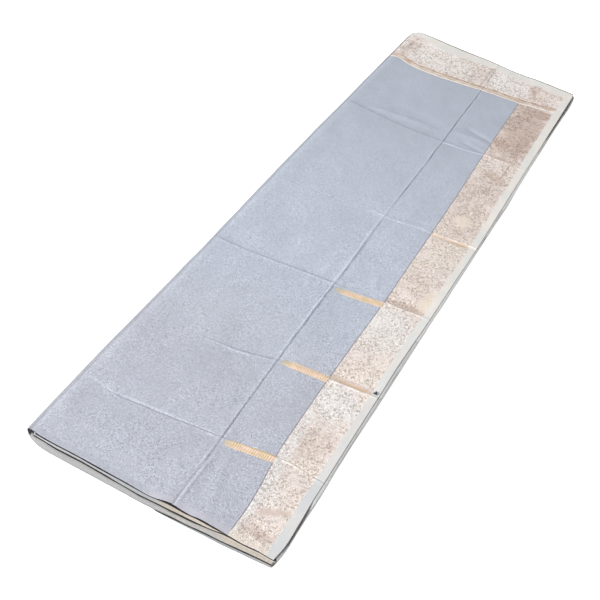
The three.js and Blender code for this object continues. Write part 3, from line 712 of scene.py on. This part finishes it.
# Tones of the metal-thread panels, and where they lie: x, y, half width, half length, how much
# further it lies per millimetre to the right, tone, share. The narrow brown, ochre and dark ones
# along the creases are partly the cloth's own tone and partly painted shade of the creases.
TONES = {"white": srgb(224, 222, 220), "cream": srgb(220, 210, 200), "pink": srgb(217, 206, 201),
         "sand": srgb(211, 199, 181), "tan": srgb(206, 193, 184), "brown": srgb(181, 161, 149),
         "ochre": srgb(196, 164, 124), "dark": srgb(150, 130, 118)}
PATCHES = [
    (118, -294.6, 30, 5.2, 0.11, "brown", 0.8), (122, -296.8, 27, 2.6, 0.11, "ochre", 0.7),
    (110, -182, 42, 46, 0, "white", 0.75), (133, -255, 20, 28, 0, "cream", 0.7),
    (106, -240, 14, 30, 0, "pink", 0.4), (112, -336, 34, 28, 0, "white", 0.9),
    (112, -412, 32, 25, 0.1, "tan", 0.75), (118, -466, 30, 16, 0, "pink", 0.5),
    (108, -500, 14, 20, 0, "white", 0.5), (97, -470, 9, 105, 0, "white", 0.95),
    (128, -516, 17, 5.5, 0.5, "brown", 0.7), (128, -551, 23, 6.5, 0, "brown", 0.6),
    (140, -540, 8, 10, 0, "cream", 0.6), (120, -448.5, 26, 1.6, 0, "cream", 0.8),
    (118, -123, 30, 6, 0.09, "brown", 0.7), (138, -123.5, 13, 3.4, 0.09, "dark", 0.5),
    (142, -98, 8, 22, 0, "sand", 0.85), (142, -45, 5, 6, 0, "pink", 0.6),
    (115, -75, 26, 40, 0, "tan", 0.3), (112, 0, 30, 34, 0, "cream", 0.4),
    (100, 42.5, 10, 4, 0.2, "ochre", 0.6), (126, 45.5, 20, 4.5, 0.16, "brown", 0.6),
    (134, 46.5, 14, 3, 0.16, "ochre", 0.85), (118, 130, 32, 74, 0, "tan", 0.5),
    (122, 100, 12, 14, 0, "sand", 0.5), (124, 70, 11, 9, 0, "brown", 0.3),
    (118, 384, 34, 96, 0, "tan", 0.95), (118, 400, 34, 94, 0, "brown", 0.75),
    (104, 336, 12, 13, 0, "brown", 0.8), (134, 345, 8, 34, 0, "brown", 0.55),
    (112, 270, 20, 17, 0, "pink", 0.8), (125, 237, 22, 10, -0.3, "brown", 0.65),
    (133.5, 265, 1.6, 27, 0, "brown", 0.7), (118, 294.5, 28, 3, 0.03, "dark", 0.45),
    (118, 205, 34, 22, 0, "tan", 0.45), (137, 474.5, 12, 4.5, 0.2, "dark", 0.85),
    (134, 462, 16, 12, 0.2, "brown", 0.8), (110, 484, 30, 2.4, 0.2, "brown", 0.5),
    (-60, 515, 90, 40, 0, "white", 0.55), (-3, 515, 14, 36, 0, "tan", 0.55),
    (-38, 545, 16, 10, 0, "tan", 0.5), (13.5, 517, 3.4, 42, 0, "brown", 0.8),
    (-134, 522, 7, 30, 0, "brown", 0.5), (-120, 540, 14, 12, 0, "tan", 0.4),
    (53, 520, 36, 34, 0, "white", 0.75), (99, 538, 9, 22, 0, "brown", 0.65),
    (116, 512, 14, 9, 0, "tan", 0.6), (132, 530, 16, 22, 0, "pink", 0.5),
    (-100, 500, 20, 14, 0, "white", 0.3), (-75, 552, 60, 5, 0.1, "white", 0.4),
]
CALM_HALF_LENGTH = 5.6   # shorter patches than this have little of the pattern drawn on them
MOTIF_WIDTH, MOTIF_LENGTH = 25.0, 29.0     # of one repeat of the flower and its lattice
LEAF_PITCH_X, LEAF_PITCH_Y = 6.1, 7.3


def flower_lattice(n):
    """A half-drop repeat: a six-petalled flower in an ogee lattice, between small leaves."""
    drift = n.scaled(n.noise_node(0.05, 0.05).outputs["Color"], 7.0)
    x, y, _ = n.separate(n.vector("ADD", n.place, drift))
    column = x / MOTIF_WIDTH
    half_drop = n.math("MODULO", abs(n.math("FLOOR", column)), 2.0) * 0.5
    u = (n.fraction(column) - 0.5) * MOTIF_WIDTH
    v = (n.fraction(half_drop + y / MOTIF_LENGTH) - 0.5) * MOTIF_LENGTH
    radius = n.length(u, v)
    angle = n.math("ARCTAN2", v, u)
    petals = n.math("COSINE", angle * 6.0) * 1.5 + 6.0
    vein = abs(n.math("SINE", angle * 3.0)) * radius
    swing = n.math("COSINE", v * (2 * math.pi / MOTIF_LENGTH))
    lattice = swing * (0.17 * MOTIF_WIDTH) + 0.31 * MOTIF_WIDTH
    leaf_u = (n.fraction(x / LEAF_PITCH_X) - 0.5) * 9.0
    leaf_v = (n.fraction((y + x * 0.55) / LEAF_PITCH_Y) - 0.5) * LEAF_PITCH_Y
    drawn = n.line(radius - petals, 0.9)
    for part in (n.line(radius - 2.1, 0.8), n.line(vein, 1.1) * n.window(radius, 6.0, 5.2),
                 n.line(abs(u) - lattice, 1.0),
                 n.line(n.length(leaf_u, leaf_v) - 2.3, 0.8) * n.window(radius, 7.0, 8.5)):
        drawn = n.larger(drawn, part)
    return drawn


def patch(n, ragged, x, y, half_x, half_y, slope):
    """1 inside a soft ragged ellipse."""
    across = (n.x - x) / half_x
    along = (n.y - n.x * slope - (y - slope * x)) / half_y
    return n.window(n.length(across, along) + ragged, 1.45, 0.6)


def zari():
    """Metal-thread jacquard: pale shining ground with small painted glints, thin duller lines of
    the pattern, which are small curls on the near part and larger ones on the far part."""
    n = Nodes("zari")
    column, row = n.woven()
    curls = n.contours(n.noise(0.24, 0.21, detail=3, roughness=0.55), 4.0, 0.28)
    loops = n.contours(n.noise(0.13, 0.115, detail=3, roughness=0.55), 4.6, 0.27)
    broken = n.window(n.noise(0.24, 0.24), 0.37, 0.48)
    drawing = n.larger(curls * n.window(n.y, 340, 140), loops * n.window(n.y, 0, 200)) * broken
    fine = n.noise(1.4, 1.3, detail=1, roughness=0.6)
    fading = n.noise(0.035, 0.035, detail=3, roughness=0.6)
    dotted = n.window(n.y, -340, -400) * n.window(n.x, 122, 102)
    ink = n.larger(flower_lattice(n) * 0.4, drawing * 0.85)
    ink = n.larger(ink, n.window(fine, 0.55, 0.63) * (dotted * 0.45 + 0.22))
    ink = ink * (n.window(fading, 0.66, 0.48) * 0.5 + 0.5)
    ragged = centred(n.noise(0.09, 0.09, detail=3, roughness=0.65), 0.8)
    tone = n.mix(n.window(fading, 0.4, 0.6), TONES["cream"], TONES["pink"])
    tone = n.scaled(tone, n.window(n.y, 470, 500) * 0.05 + 1.0)
    calm = 0.0
    for x, y, half_x, half_y, slope, name, share in PATCHES:
        inside = patch(n, ragged, x, y, half_x, half_y, slope)
        if half_y < CALM_HALF_LENGTH or name == "sand":
            calm = n.larger(calm, inside)
        tone = n.mix(inside * (0.9 * share), tone, TONES[name])
    hem = n.window(n.y, -561.5, -563.5) * 0.8
    tone = n.mix(hem, tone, srgb(212, 202, 192))
    ragged_edge_or_shade = ragged * 7.0
    ending = n.larger(n.window(column + ragged_edge_or_shade, 145.8, 149.5), n.window(row + ragged_edge_or_shade, 551, 557.5))
    tone = n.mix(ending * 0.85, tone, srgb(206, 203, 199))
    ink = ink * (1.0 - n.larger(calm, ending) * 0.7)
    thread = n.mix(0.5, n.scaled(tone, 0.6), srgb(124, 97, 92))
    # Painted glints: small bright spots in the colour.
    tone_with_painted_glints = n.scaled(tone, n.window(fine, 0.46, 0.38) * 0.34 + 0.95)
    colour = n.mix(ink * (1.0 - hem * 0.6), tone_with_painted_glints, thread)
    n.bump(n.weave(0.6, 0.6) * 0.15 + (1.0 - ink), 0.3)
    roughness = ink * 0.2 + 0.42
    return n.finish(edge_shade(n, colour), roughness, metallic=0.05, sheen=0.04, specular=0.5)


def silver_strip():
    """Plain cloth of silver thread, cooler and duller at its near end."""
    n = Nodes("silver_strip")
    lines = n.noise(0.9, 0.08)
    cloudy = n.window(n.noise(0.06, 0.03), 0.35, 0.65)
    near = n.mix(cloudy, srgb(189, 190, 192), srgb(195, 194, 193))
    far = n.mix(cloudy, srgb(201, 201, 198), srgb(208, 203, 197))
    base = n.mix(n.window(n.y, -520, -60), near, far)
    n.bump(n.weave(0.6, 0.6) + lines, 0.06)
    colour = n.scaled(base, lines * 0.14 + 0.93)
    return n.finish(edge_shade(n, colour), 0.5, sheen=0.1, specular=0.45)


def far_edge_shade():
    """Painted shade: a dark band along the far edge for its dark outline, with a fine twist in bump
    and tone.
    """
    n = Nodes("far_edge_shade")
    twist = n.wave(n.x, 1.4)
    n.bump(twist, 0.1)
    return n.finish(n.scaled(srgb(112, 111, 104), twist * 0.1 + 0.95), 0.7, specular=0.3)


def selvedge():
    """The body's near selvedge, paler and smoother towards the right."""
    n = Nodes("selvedge")
    lines = n.noise(0.12, 1.1, detail=3)
    grain = n.window(n.noise(1.3, 1.1, detail=1), 0.36, 0.64)
    right = n.window(n.x, -10, 12)
    tone = (grain - 0.5) * (0.4 - right * 0.26) + lines * 0.2 + 0.9
    base = n.mix(right, srgb(163, 166, 176), srgb(174, 174, 184))
    n.bump(n.weave(0.6, 0.5) + lines, 0.1)
    return n.finish(edge_shade(n, n.scaled(base, tone)), 0.62, specular=0.3)


def gold_rib(name, light, dark, pitch, depth, fade=None):
    """Metal thread in fine uneven ribs across the stripe. fade is the x where it begins, the x
    where it is complete, and the tint of that beginning."""
    n = Nodes(name)
    rib = n.wave(n.noise(0.15, 0.3) * 3.0 + n.x, pitch)
    threads = n.noise(0.35, 1.5, detail=3, roughness=0.7)
    patches = n.window(n.noise(0.09, 0.2, detail=3, roughness=0.7), 0.4, 0.62)
    tone = rib * depth + (0.95 - 0.5 * depth) + centred(threads, 0.22)
    colour = n.scaled(n.mix(patches, light, dark), tone)
    if fade is not None:
        start, full, tint = fade
        colour = n.mix(n.window(n.x, full, start) * 0.9, colour, tint)
    n.bump(rib + threads, 0.25)
    return n.finish(edge_shade(n, colour), 0.45, metallic=0.1, specular=0.5)


def inner_cloth():
    """Folded layers: grey at the fold, cream where the metal thread lies inside, with painted shade
    near the floor and down the right side below the ledge.
    """
    n = Nodes("inner_layers")
    bent = n.x + centred(n.noise(0.03, 0.03), 14.0)
    upper = n.mix(n.window(bent, 0, 30), srgb(152, 154, 156), srgb(158, 150, 140))
    lower = n.mix(n.window(bent, 0, 40), srgb(135, 134, 134), srgb(142, 140, 137))
    lower = n.mix(n.window(bent, 82, 100), lower, srgb(152, 145, 136))
    colour = n.mix(n.window(n.z, 9.2, 9.9), lower, upper)
    # Painted shade: darker towards the floor.
    colour = n.mix(n.window(n.z, 3.6, 2.4), colour, srgb(128, 130, 132))
    # Painted shade: the right side is dark below the ledge, which stays light.
    right_side_with_painted_shade = n.mix(n.window(n.z, 9.5, 11.5), srgb(100, 99, 97), srgb(174, 175, 174))
    colour = n.mix(n.window(n.x, 151, 153.5), colour, right_side_with_painted_shade)
    hatch = n.noise(0.85, 0.85, 0.06, detail=3, roughness=0.65)
    threads = n.noise(0.2, 0.2, 1.6)
    n.bump(hatch + threads, 0.18)
    tone = hatch * 0.5 + 0.74 + centred(threads, 0.08)
    return n.finish(n.scaled(colour, tone), 0.7, specular=0.25)


def painted_gap_shadow():
    """Painted shadow: a dark finish on the faces deep in the gaps between the stretches, where
    little light falls.
    """
    return Nodes("painted_gap_shadow").finish(srgb(58, 56, 56), 0.9, specular=0.1)


def dark_thread():
    """The knot's thread, dark blue and a little shiny."""
    n = Nodes("dark_thread")
    twist = n.noise(3.0, 0.8, 0.8, detail=1)
    n.bump(twist, 0.2)
    return n.finish(n.mix(twist, srgb(14, 18, 36), srgb(44, 50, 78)), 0.45, sheen=0.2, specular=0.5)


SLOTS = {
    "body_silk": body_silk(), "selvedge": selvedge(), "zari": zari(),
    "silver_strip": silver_strip(), "inner_layers": inner_cloth(), "dark_thread": dark_thread(),
    "gold_stripe": gold_rib("gold_stripe", srgb(221, 195, 175), srgb(208, 185, 150), 3.0, 0.22,
                            fade=(30, 44, srgb(176, 172, 158))),
}
ACCENT_RIB = gold_rib("accent_rib", srgb(216, 204, 192), srgb(186, 166, 150), 3.6, 0.42)
ACCENT_CREAM = gold_rib("accent_cream", srgb(234, 230, 224), srgb(228, 220, 210), 2.1, 0.1)
ACCENT_BROWN = gold_rib("accent_brown", srgb(176, 148, 130), srgb(160, 132, 114), 2.3, 0.12)
FAR_EDGE_SHADE_FINISH = far_edge_shade()
GAP_SHADOW_FINISH = painted_gap_shadow()


def dress(piece, slot, name, finish=None):
    """Gives a piece its finish and its body, and puts it in the place of the node of that name,
    where there is one."""
    piece.data.materials.append(finish or SLOTS[slot])
    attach(piece, "root")
    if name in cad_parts:
        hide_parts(name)


def cut_sheet(piece, width, length, rests_on, held="folded", with_pieces=()):
    """Takes the size a piece was cut to and does nothing with it; how it is held and what it lies
    on are not used.
    """
    width * MM
    length * MM


# ---------------------------------------------------------------- the top stretch

FOLD_GIRTH = 40.0        # cloth in the outer fold
NARROWEST_SHEET = 10.0   # narrower strips are listed apart, with the ground


def top_stretch():
    """Every woven part of the top stretch, as a shell of its own. Returns the strips that are
    too narrow to be sheets."""
    border_columns = join_places(BODY_COLUMNS, END_COLUMNS)
    end_rows = join_places(SELVEDGE_ROWS, BODY_ROWS)
    accent_rows = join_places(CREAM_ROWS, RIB_ROWS, BROWN_ROWS)
    strip_rows = join_places(end_rows, accent_rows, BORDER_ROWS)
    all_columns = join_places(border_columns, STRIP_COLUMNS)
    panels = [
        ("ground", "body_silk", BODY_COLUMNS, BODY_ROWS, None),
        ("near_selvedge", "selvedge", BODY_COLUMNS, SELVEDGE_ROWS, None),
        ("end_zari_panel", "zari", END_COLUMNS, end_rows, None),
        ("end_plain_strip", "silver_strip", STRIP_COLUMNS, strip_rows, None),
        ("accent_cream", "gold_stripe", border_columns, CREAM_ROWS, ACCENT_CREAM),
        ("border_accent", "gold_stripe", border_columns, RIB_ROWS, ACCENT_RIB),
        ("accent_brown", "gold_stripe", border_columns, BROWN_ROWS, ACCENT_BROWN),
        ("border_zari", "zari", border_columns, BORDER_ROWS, None),
        ("border_plain_selvedge", "silver_strip", all_columns, FAR_ROWS, None),
        # Painted shade: the dark band along the far edge.
        ("border_edge_cord", "silver_strip", all_columns, FAR_SHADE_ROWS, FAR_EDGE_SHADE_FINISH),
    ]
    fold_columns = FOLD_X - FOLD_GIRTH * (1 - np.arange(FOLD_STEPS) / FOLD_STEPS)
    narrow = []
    for name, slot, columns, rows, finish in panels:
        with_fold = columns[0] == FOLD_X
        woven_columns = np.concatenate([fold_columns, columns]) if with_fold else columns
        outer = outer_points(columns, rows, with_fold)
        piece = shell(f"{name}_cloth", outer, woven=(woven_columns, rows))
        dress(piece, slot, name, finish)
        width = columns[-1] - columns[0] + (FOLD_GIRTH if with_fold else 0)
        length = rows[-1] - rows[0]
        if min(width, length) <= NARROWEST_SHEET:
            narrow.append(piece)
        elif name != "ground":
            cut_sheet(piece, width, length, ["hidden_layers"])
    return narrow


GROUND_STRIPS = top_stretch()

# ---------------------------------------------------------------- inner layers and underside

# How far in from the edge the rings of a pile's faces lie. The second one only sets that ring's
# height: it lies where the face stops showing and the painted shadow of the gap begins.
INSETS = [0.5, 0.9, 5.4, 7.5, 10, 28]
EASED_BY = 10.0          # where the rings have reached the heights of the pile's middle
STEPS_PER_LAYER = 5
STRETCH_SIZE = 310, 1150               # one folded stretch of the whole cloth
HALF = np.array([155.0, 575.0])
SIDES = [("near", 150), ("right", 210), ("far", 70), ("left", 90)]
STATIONS = [(side, share) for side, count in SIDES
            for share in np.linspace(0, 1, count, endpoint=False)]
SIDE_NAMES = np.array([side for side, _ in STATIONS])


def smoothed(loop):
    return (np.roll(loop, 1, axis=0) + 2 * loop + np.roll(loop, -1, axis=0)) / 4


def inner_fold_x(y, z):
    """Where the inside of the outer fold is at a height."""
    reach = FOLD_X - read(LEFT_SILHOUETTE, y) - CLOTH - 0.6
    middle = STACK_HEIGHT / 2
    drop = np.clip(np.abs(z - middle) / (middle - CLOTH), 0, 1)
    return FOLD_X - reach * (1 - drop ** FOLD_SQUARENESS) ** (1 / FOLD_SQUARENESS)


def pile_loop(pile, near, z):
    """The loop of a pile's edge at one height, from the near left corner anticlockwise."""
    back = lambda y: 1.2 + pile["left"] * float(1 - ease((y + 568) / 40))
    left_at = lambda y: float(inner_fold_x(y, z)) + back(y)
    right_at = lambda y: float(read(pile["right"], y)) - pile["recess"]
    near_at = lambda x: float(read(near, x))
    far_at = lambda x: float(read(FAR_EDGE, x)) - 1.0
    low_left, low_right = near_at(-150), near_at(152)
    high_right, high_left = far_at(155), far_at(-150)
    loop = []
    for side, share in STATIONS:
        if side == "near":
            x = left_at(low_left) + (right_at(low_right) - left_at(low_left)) * share
            loop.append((x, near_at(x)))
        elif side == "right":
            y = low_right + (high_right - low_right) * share
            loop.append((right_at(y), y))
        elif side == "far":
            x = right_at(high_right) + (left_at(high_left) - right_at(high_right)) * share
            loop.append((x, far_at(x)))
        else:
            y = high_left + (low_left - high_left) * share
            loop.append((left_at(y), y))
    return smoothed(np.array(loop))


def pile_heights(pile, end):
    """Heights of a pile's edge at every station, end being "top" or "foot"."""
    loop = pile_loop(pile, pile["near_top"], 7.0)
    x, y = loop[:, 0], loop[:, 1]
    near, side = read(pile[end], x), read(pile[f"right_{end}"], y)
    left = near[0] + (read(pile[f"right_{end}"], [-500.0])[0] - near[0]) * ease((y + 560) / 60)
    cases = [SIDE_NAMES == "near", SIDE_NAMES == "right"]
    return smoothed(np.select(cases, [near, side], left))


def inset(loop, amount):
    """A loop drawn in towards the middle of the stack by an amount along each side."""
    return loop * (1 - np.reshape(amount, (-1, 1)) / HALF)


def shade_line(loop):
    """How far in a pile's upper face stops showing and its painted gap shadow begins, at every
    station.
    """
    covered = loop[:, 0] - read(TOP_RIGHT_EDGE, loop[:, 1]) + 0.2
    return smoothed(np.where(SIDE_NAMES == "right", np.clip(covered, 0.6, 5.2), 0.75))


def pile_rings(pile):
    """Rings of points over a pile: in from its upper face, down its edge, and in again below."""
    top, foot = pile_heights(pile, "top"), pile_heights(pile, "foot")
    middle_top, middle_foot = pile["middle"]
    upper = pile_loop(pile, pile["near_top"], float(np.median(top)))
    lower = pile_loop(pile, pile["near_foot"], float(np.median(foot)))
    along = np.arange(len(STATIONS)) * 2.2
    seed = 300 + PILES.index(pile)
    rings = []

    def add_ring(loop, heights):
        beyond = loop[:, 0] - read(TOP_RIGHT_EDGE, loop[:, 1])
        clear = top_height(loop[:, 0], loop[:, 1]) - CLOTH - 0.5 + 0.5 * ease((beyond - 0.3) / 1.2)
        rings.append(np.column_stack([loop, np.minimum(heights, clear)]))

    def add_face(loop, amount, edge, middle):
        share = ease(amount / EASED_BY)
        amounts = shade_line(loop) if amount == INSETS[1] else np.full(len(loop), amount)
        add_ring(inset(loop, amounts), edge * (1 - share) + middle * share)

    for amount in reversed(INSETS):
        add_face(upper, amount, top, middle_top)
    steps = STEPS_PER_LAYER * pile["layers"]
    for k in range(steps + 1):
        share = k / steps
        round_edge = 0.45 * (1 - min(1, 6 * min(share, 1 - share))) ** 2
        groove = 0.25 * abs(math.cos(math.pi * share * pile["layers"])) ** 3
        groove = groove * (0.5 + 0.5 * noise(along, 0 * along, 14, 1, seed + k // 4))
        soft = 0.5 * noise(along, 9 * share + 0 * along, 22, 7, seed + 40)
        loop = upper * (1 - share) + lower * share
        add_ring(inset(loop, round_edge + groove + soft), top * (1 - share) + foot * share)
    for amount in INSETS:
        add_face(lower, amount, foot, middle_foot)
    return rings


def pile_mesh(pile, rings):
    """Vertices and faces of a closed pile through its rings, with a flat cap on each end, and
    whether each face takes the painted shadow of the gap between two piles."""
    count = len(rings[0])
    dark_steps = pile["dark_steps"]
    at_near, at_left = SIDE_NAMES == "near", SIDE_NAMES == "left"
    here = np.arange(count)
    after = np.roll(here, -1)
    faces, hidden = [], []
    for k in range(len(rings) - 1):
        a, b = k * count, (k + 1) * count
        faces += np.stack([a + here, b + here, b + after, a + after], 1).tolist()
        inside = np.full(count, k < len(INSETS) - 2 or k >= len(rings) - len(INSETS))
        if dark_steps:
            inside |= at_near & (k < len(INSETS) + dark_steps)
            inside |= at_left & (pile["left"] > 0)
        hidden += inside.tolist()
    last = (len(rings) - 1) * count
    for start, turned in ((0, False), (last, True)):
        ring = rings[0] if start == 0 else rings[-1]
        for corners in tessellate_polygon([[Vector((x, y, 0)) for x, y, _ in ring]]):
            a, b, c = (start + i for i in corners)
            faces.append((c, b, a) if turned else (a, b, c))
            hidden.append(True)
    return np.concatenate(rings), faces, hidden


def inner_layers():
    """The piles of folded layers, each one closed mesh, with painted shadow on the faces inside the
    gaps between them.
    """
    for pile in PILES:
        vertices, faces, hidden = pile_mesh(pile, pile_rings(pile))
        piece = make_object(f"{pile['name']}_cloth", vertices, faces)
        dress(piece, "inner_layers", pile["name"])
        cut_sheet(piece, *STRETCH_SIZE, [pile["rests_on"]])
        # Painted shadow on the faces hidden in the gaps.
        piece.data.materials.append(GAP_SHADOW_FINISH)
        piece.data.polygons.foreach_set("material_index", np.array(hidden, np.int32))


UNDERSIDE_NEAR = [(-160, -568), (-146, -573), (-131, -575.4), (-85, -575.8), (-10, -576),
                  (20, -576.2), (60, -575.6), (100, -574.4), (130, -572.8), (152, -571)]
UNDERSIDE_WIDTH = 305
UNDERSIDE_BORDER = 0.893               # shares of its length where the border and selvedge start
UNDERSIDE_SELVEDGE = 0.981


def underside():
    """The lowest stretch, flat on the surface it rests on, from the outer fold's seam."""
    x_places = spaced(FOLD_X, RIGHT_PLACE, 3.5)
    share = (x_places - FOLD_X) / (x_places[-1] - FOLD_X)
    bands = [("bottom_stretch", "body_silk", 0.0, UNDERSIDE_BORDER),
             ("lower_border_zari", "zari", UNDERSIDE_BORDER, UNDERSIDE_SELVEDGE),
             ("lower_border_selvedge", "silver_strip", UNDERSIDE_SELVEDGE, 1.0)]
    near, far = read(UNDERSIDE_NEAR, x_places), read(FAR_EDGE, x_places) - 1.2
    for name, slot, low, high in bands:
        along = spaced(low, high, 0.007)[:, None]
        y = near + (far - near) * along
        x = FOLD_X + (read(LOWER_RIGHT_EDGE, y) - 2.0 - FOLD_X) * share
        outer = np.stack([x, y, np.zeros_like(x)], axis=-1)[:, ::-1]
        piece = shell(f"{name}_cloth", outer)
        dress(piece, slot, name)
        cut_sheet(piece, UNDERSIDE_WIDTH, STRETCH_SIZE[1] * (high - low), [])


inner_layers()
underside()

# ---------------------------------------------------------------- gold bars and the thread knot

BARS = {                 # crease, and how far before it the bar's left and right ends lie
    "bar_near": ("c5", 5.3, 3.8),
    "bar_mid": ("c4", 0.4, 2.2),
    "bar_far": ("c3", 10.5, 7.8),
}
BAR_WIDTH = 11.6
BAR_RISE = 0.22
BAR_START = 5.0          # beyond the long crease
BAR_RIB_PITCH = 2.6
BAR_WALL = 0.25


def gold_bar(name, crease, left, right):
    """A short band of ribbed metal thread that lies on the body, thin at the crease's end."""
    share = np.linspace(0, 1, 190)
    reach = lambda x: np.clip((x - 28) / 64, 0, 1)
    middle = lambda x: crease_y(crease, x) - left + (left - right) * reach(x)
    start = float(read(LONG_CREASE, middle(30.0))) + BAR_START
    end = float(read(END_INNER, middle(92.0)))
    x = np.broadcast_to(start + (end - start) * share, (11, len(share)))
    width = BAR_WIDTH / 2 * (0.72 + 0.28 * ease((x - start) / 14))
    width = width * (1 + 0.05 * noise(x, 0 * x, 5, 1, 71))
    side = np.linspace(-1, 1, 11)[:, None]
    y = middle(x) + side * width
    crown = BAR_RISE * (1 - side ** 6) * ease(share * 14) + 0.08
    ribs = 0.07 * np.sin(2 * np.pi * x / BAR_RIB_PITCH)
    z = top_height(x, y) + crown + ribs * (1 - side ** 6)
    piece = shell(f"{name}_cloth", np.stack([x, y, z], axis=-1), wall=BAR_WALL)
    dress(piece, "gold_stripe", name)
    cut_sheet(piece, end - start, BAR_WIDTH, ["ground"], held="laid")


for bar, (crease, left, right) in BARS.items():
    gold_bar(bar, crease, left, right)
cut_sheet(bpy.data.objects["ground_cloth"], END_INNER_PLACE - FOLD_X + FOLD_GIRTH,
          ROWS["border"] - ROWS["selvedge"], ["hidden_layers"], with_pieces=GROUND_STRIPS)

KNOT_PLACE = (149.0, -292.4)
KNOT_THREAD = 0.7        # half its thickness
KNOT_TURN = 55.0         # degrees


def thread_knot():
    """A small overhand knot of dark thread, with its two cut ends."""
    turns = np.linspace(0, 2 * np.pi, 60)
    loop_x = 2.1 * (np.sin(turns) + 0.9 * np.sin(2 * turns)) / 1.6
    loop_y = 1.7 * (np.cos(turns) - 1.1 * np.cos(2 * turns)) / 1.6
    loop_z = 0.7 * -np.sin(3 * turns)
    points = np.stack([loop_x, loop_y, loop_z], 1)
    first = points[0] + np.array([(2.6, 1.2, -0.4), (1.2, 0.7, -0.2)])
    last = points[-1] + np.array([(-1.0, 0.9, -0.1), (-2.4, 1.0, -0.4)])
    path = np.concatenate([first, points, last])
    curve = bpy.data.curves.new("thread_knot_path", "CURVE")
    curve.dimensions = "3D"
    curve.bevel_depth = KNOT_THREAD * MM
    curve.bevel_resolution = 3
    curve.use_fill_caps = True
    x, y = KNOT_PLACE
    height = float(top_height(np.array([x]), np.array([y]))[0]) + KNOT_THREAD + 0.75
    across, along = math.cos(math.radians(KNOT_TURN)), math.sin(math.radians(KNOT_TURN))
    turn = np.array([(across, along, 0), (-along, across, 0), (0, 0, 1)])
    points = (path @ turn + (x, y, height)) * MM
    spline = curve.splines.new("POLY")
    spline.points.add(len(points) - 1)
    spline.points.foreach_set("co", np.column_stack([points, np.ones(len(points))]).ravel())
    holder = add_object("thread_knot_path", curve)
    mesh = bpy.data.meshes.new_from_object(holder)
    bpy.data.objects.remove(holder)
    mesh.materials.clear()
    mesh.polygons.foreach_set("use_smooth", [True] * len(mesh.polygons))
    dress(add_object("thread_knot_thread", mesh), "dark_thread", "thread_knot")


thread_knot()

# ---------------------------------------------------------------- camera, floor and light


def place_camera():
    data = bpy.data.cameras.new("camera")
    data.lens = CAMERA_LENS
    data.sensor_width = CAMERA_SENSOR
    made = add_object("camera", data)
    turn = (CAMERA_AIM - CAMERA_PLACE).to_track_quat("-Z", "Y").to_matrix().to_4x4()
    roll = Matrix.Rotation(math.radians(CAMERA_ROLL), 4, "Z")
    made.matrix_world = Matrix.Translation(CAMERA_PLACE) @ turn @ roll
    bpy.context.scene.camera = made


def make_floor():
    side = FLOOR_HALF_SIDE
    mesh = bpy.data.meshes.new("floor")
    corners = [(-side, -side, 0), (side, -side, 0), (side, side, 0), (-side, side, 0)]
    mesh.from_pydata(corners, [], [(0, 1, 2, 3)])
    floor = add_object("floor", mesh)
    floor.location.z = -FLOOR_DROP
    n = Nodes("floor")
    n.shader.inputs["Emission Color"].default_value = (1, 1, 1, 1)
    n.shader.inputs["Emission Strength"].default_value = FLOOR_GLOW
    mesh.materials.append(n.finish((0.93, 0.93, 0.93), 0.9, specular=0.1))


def area_light(name, place, side, power):
    """A square light that faces the middle of the cloth."""
    data = bpy.data.lights.new(name, "AREA")
    data.shape = "RECTANGLE"
    data.size = data.size_y = side
    data.energy = power
    turn = (-Vector(place)).to_track_quat("-Z", "Y").to_matrix().to_4x4()
    add_object(name, data).matrix_world = Matrix.Translation(place) @ turn


def light_scene():
    world = bpy.data.worlds.new("studio")
    world.use_nodes = True
    background = world.node_tree.nodes["Background"]
    background.inputs["Color"].default_value = (1, 1, 1, 1)
    background.inputs["Strength"].default_value = STUDIO_LIGHT
    bpy.context.scene.world = world
    for name, (place, side, power) in LIGHTS.items():
        area_light(name, place, side, power)
    bpy.context.scene.view_settings.view_transform = "Standard"


place_camera()
make_floor()
light_scene()
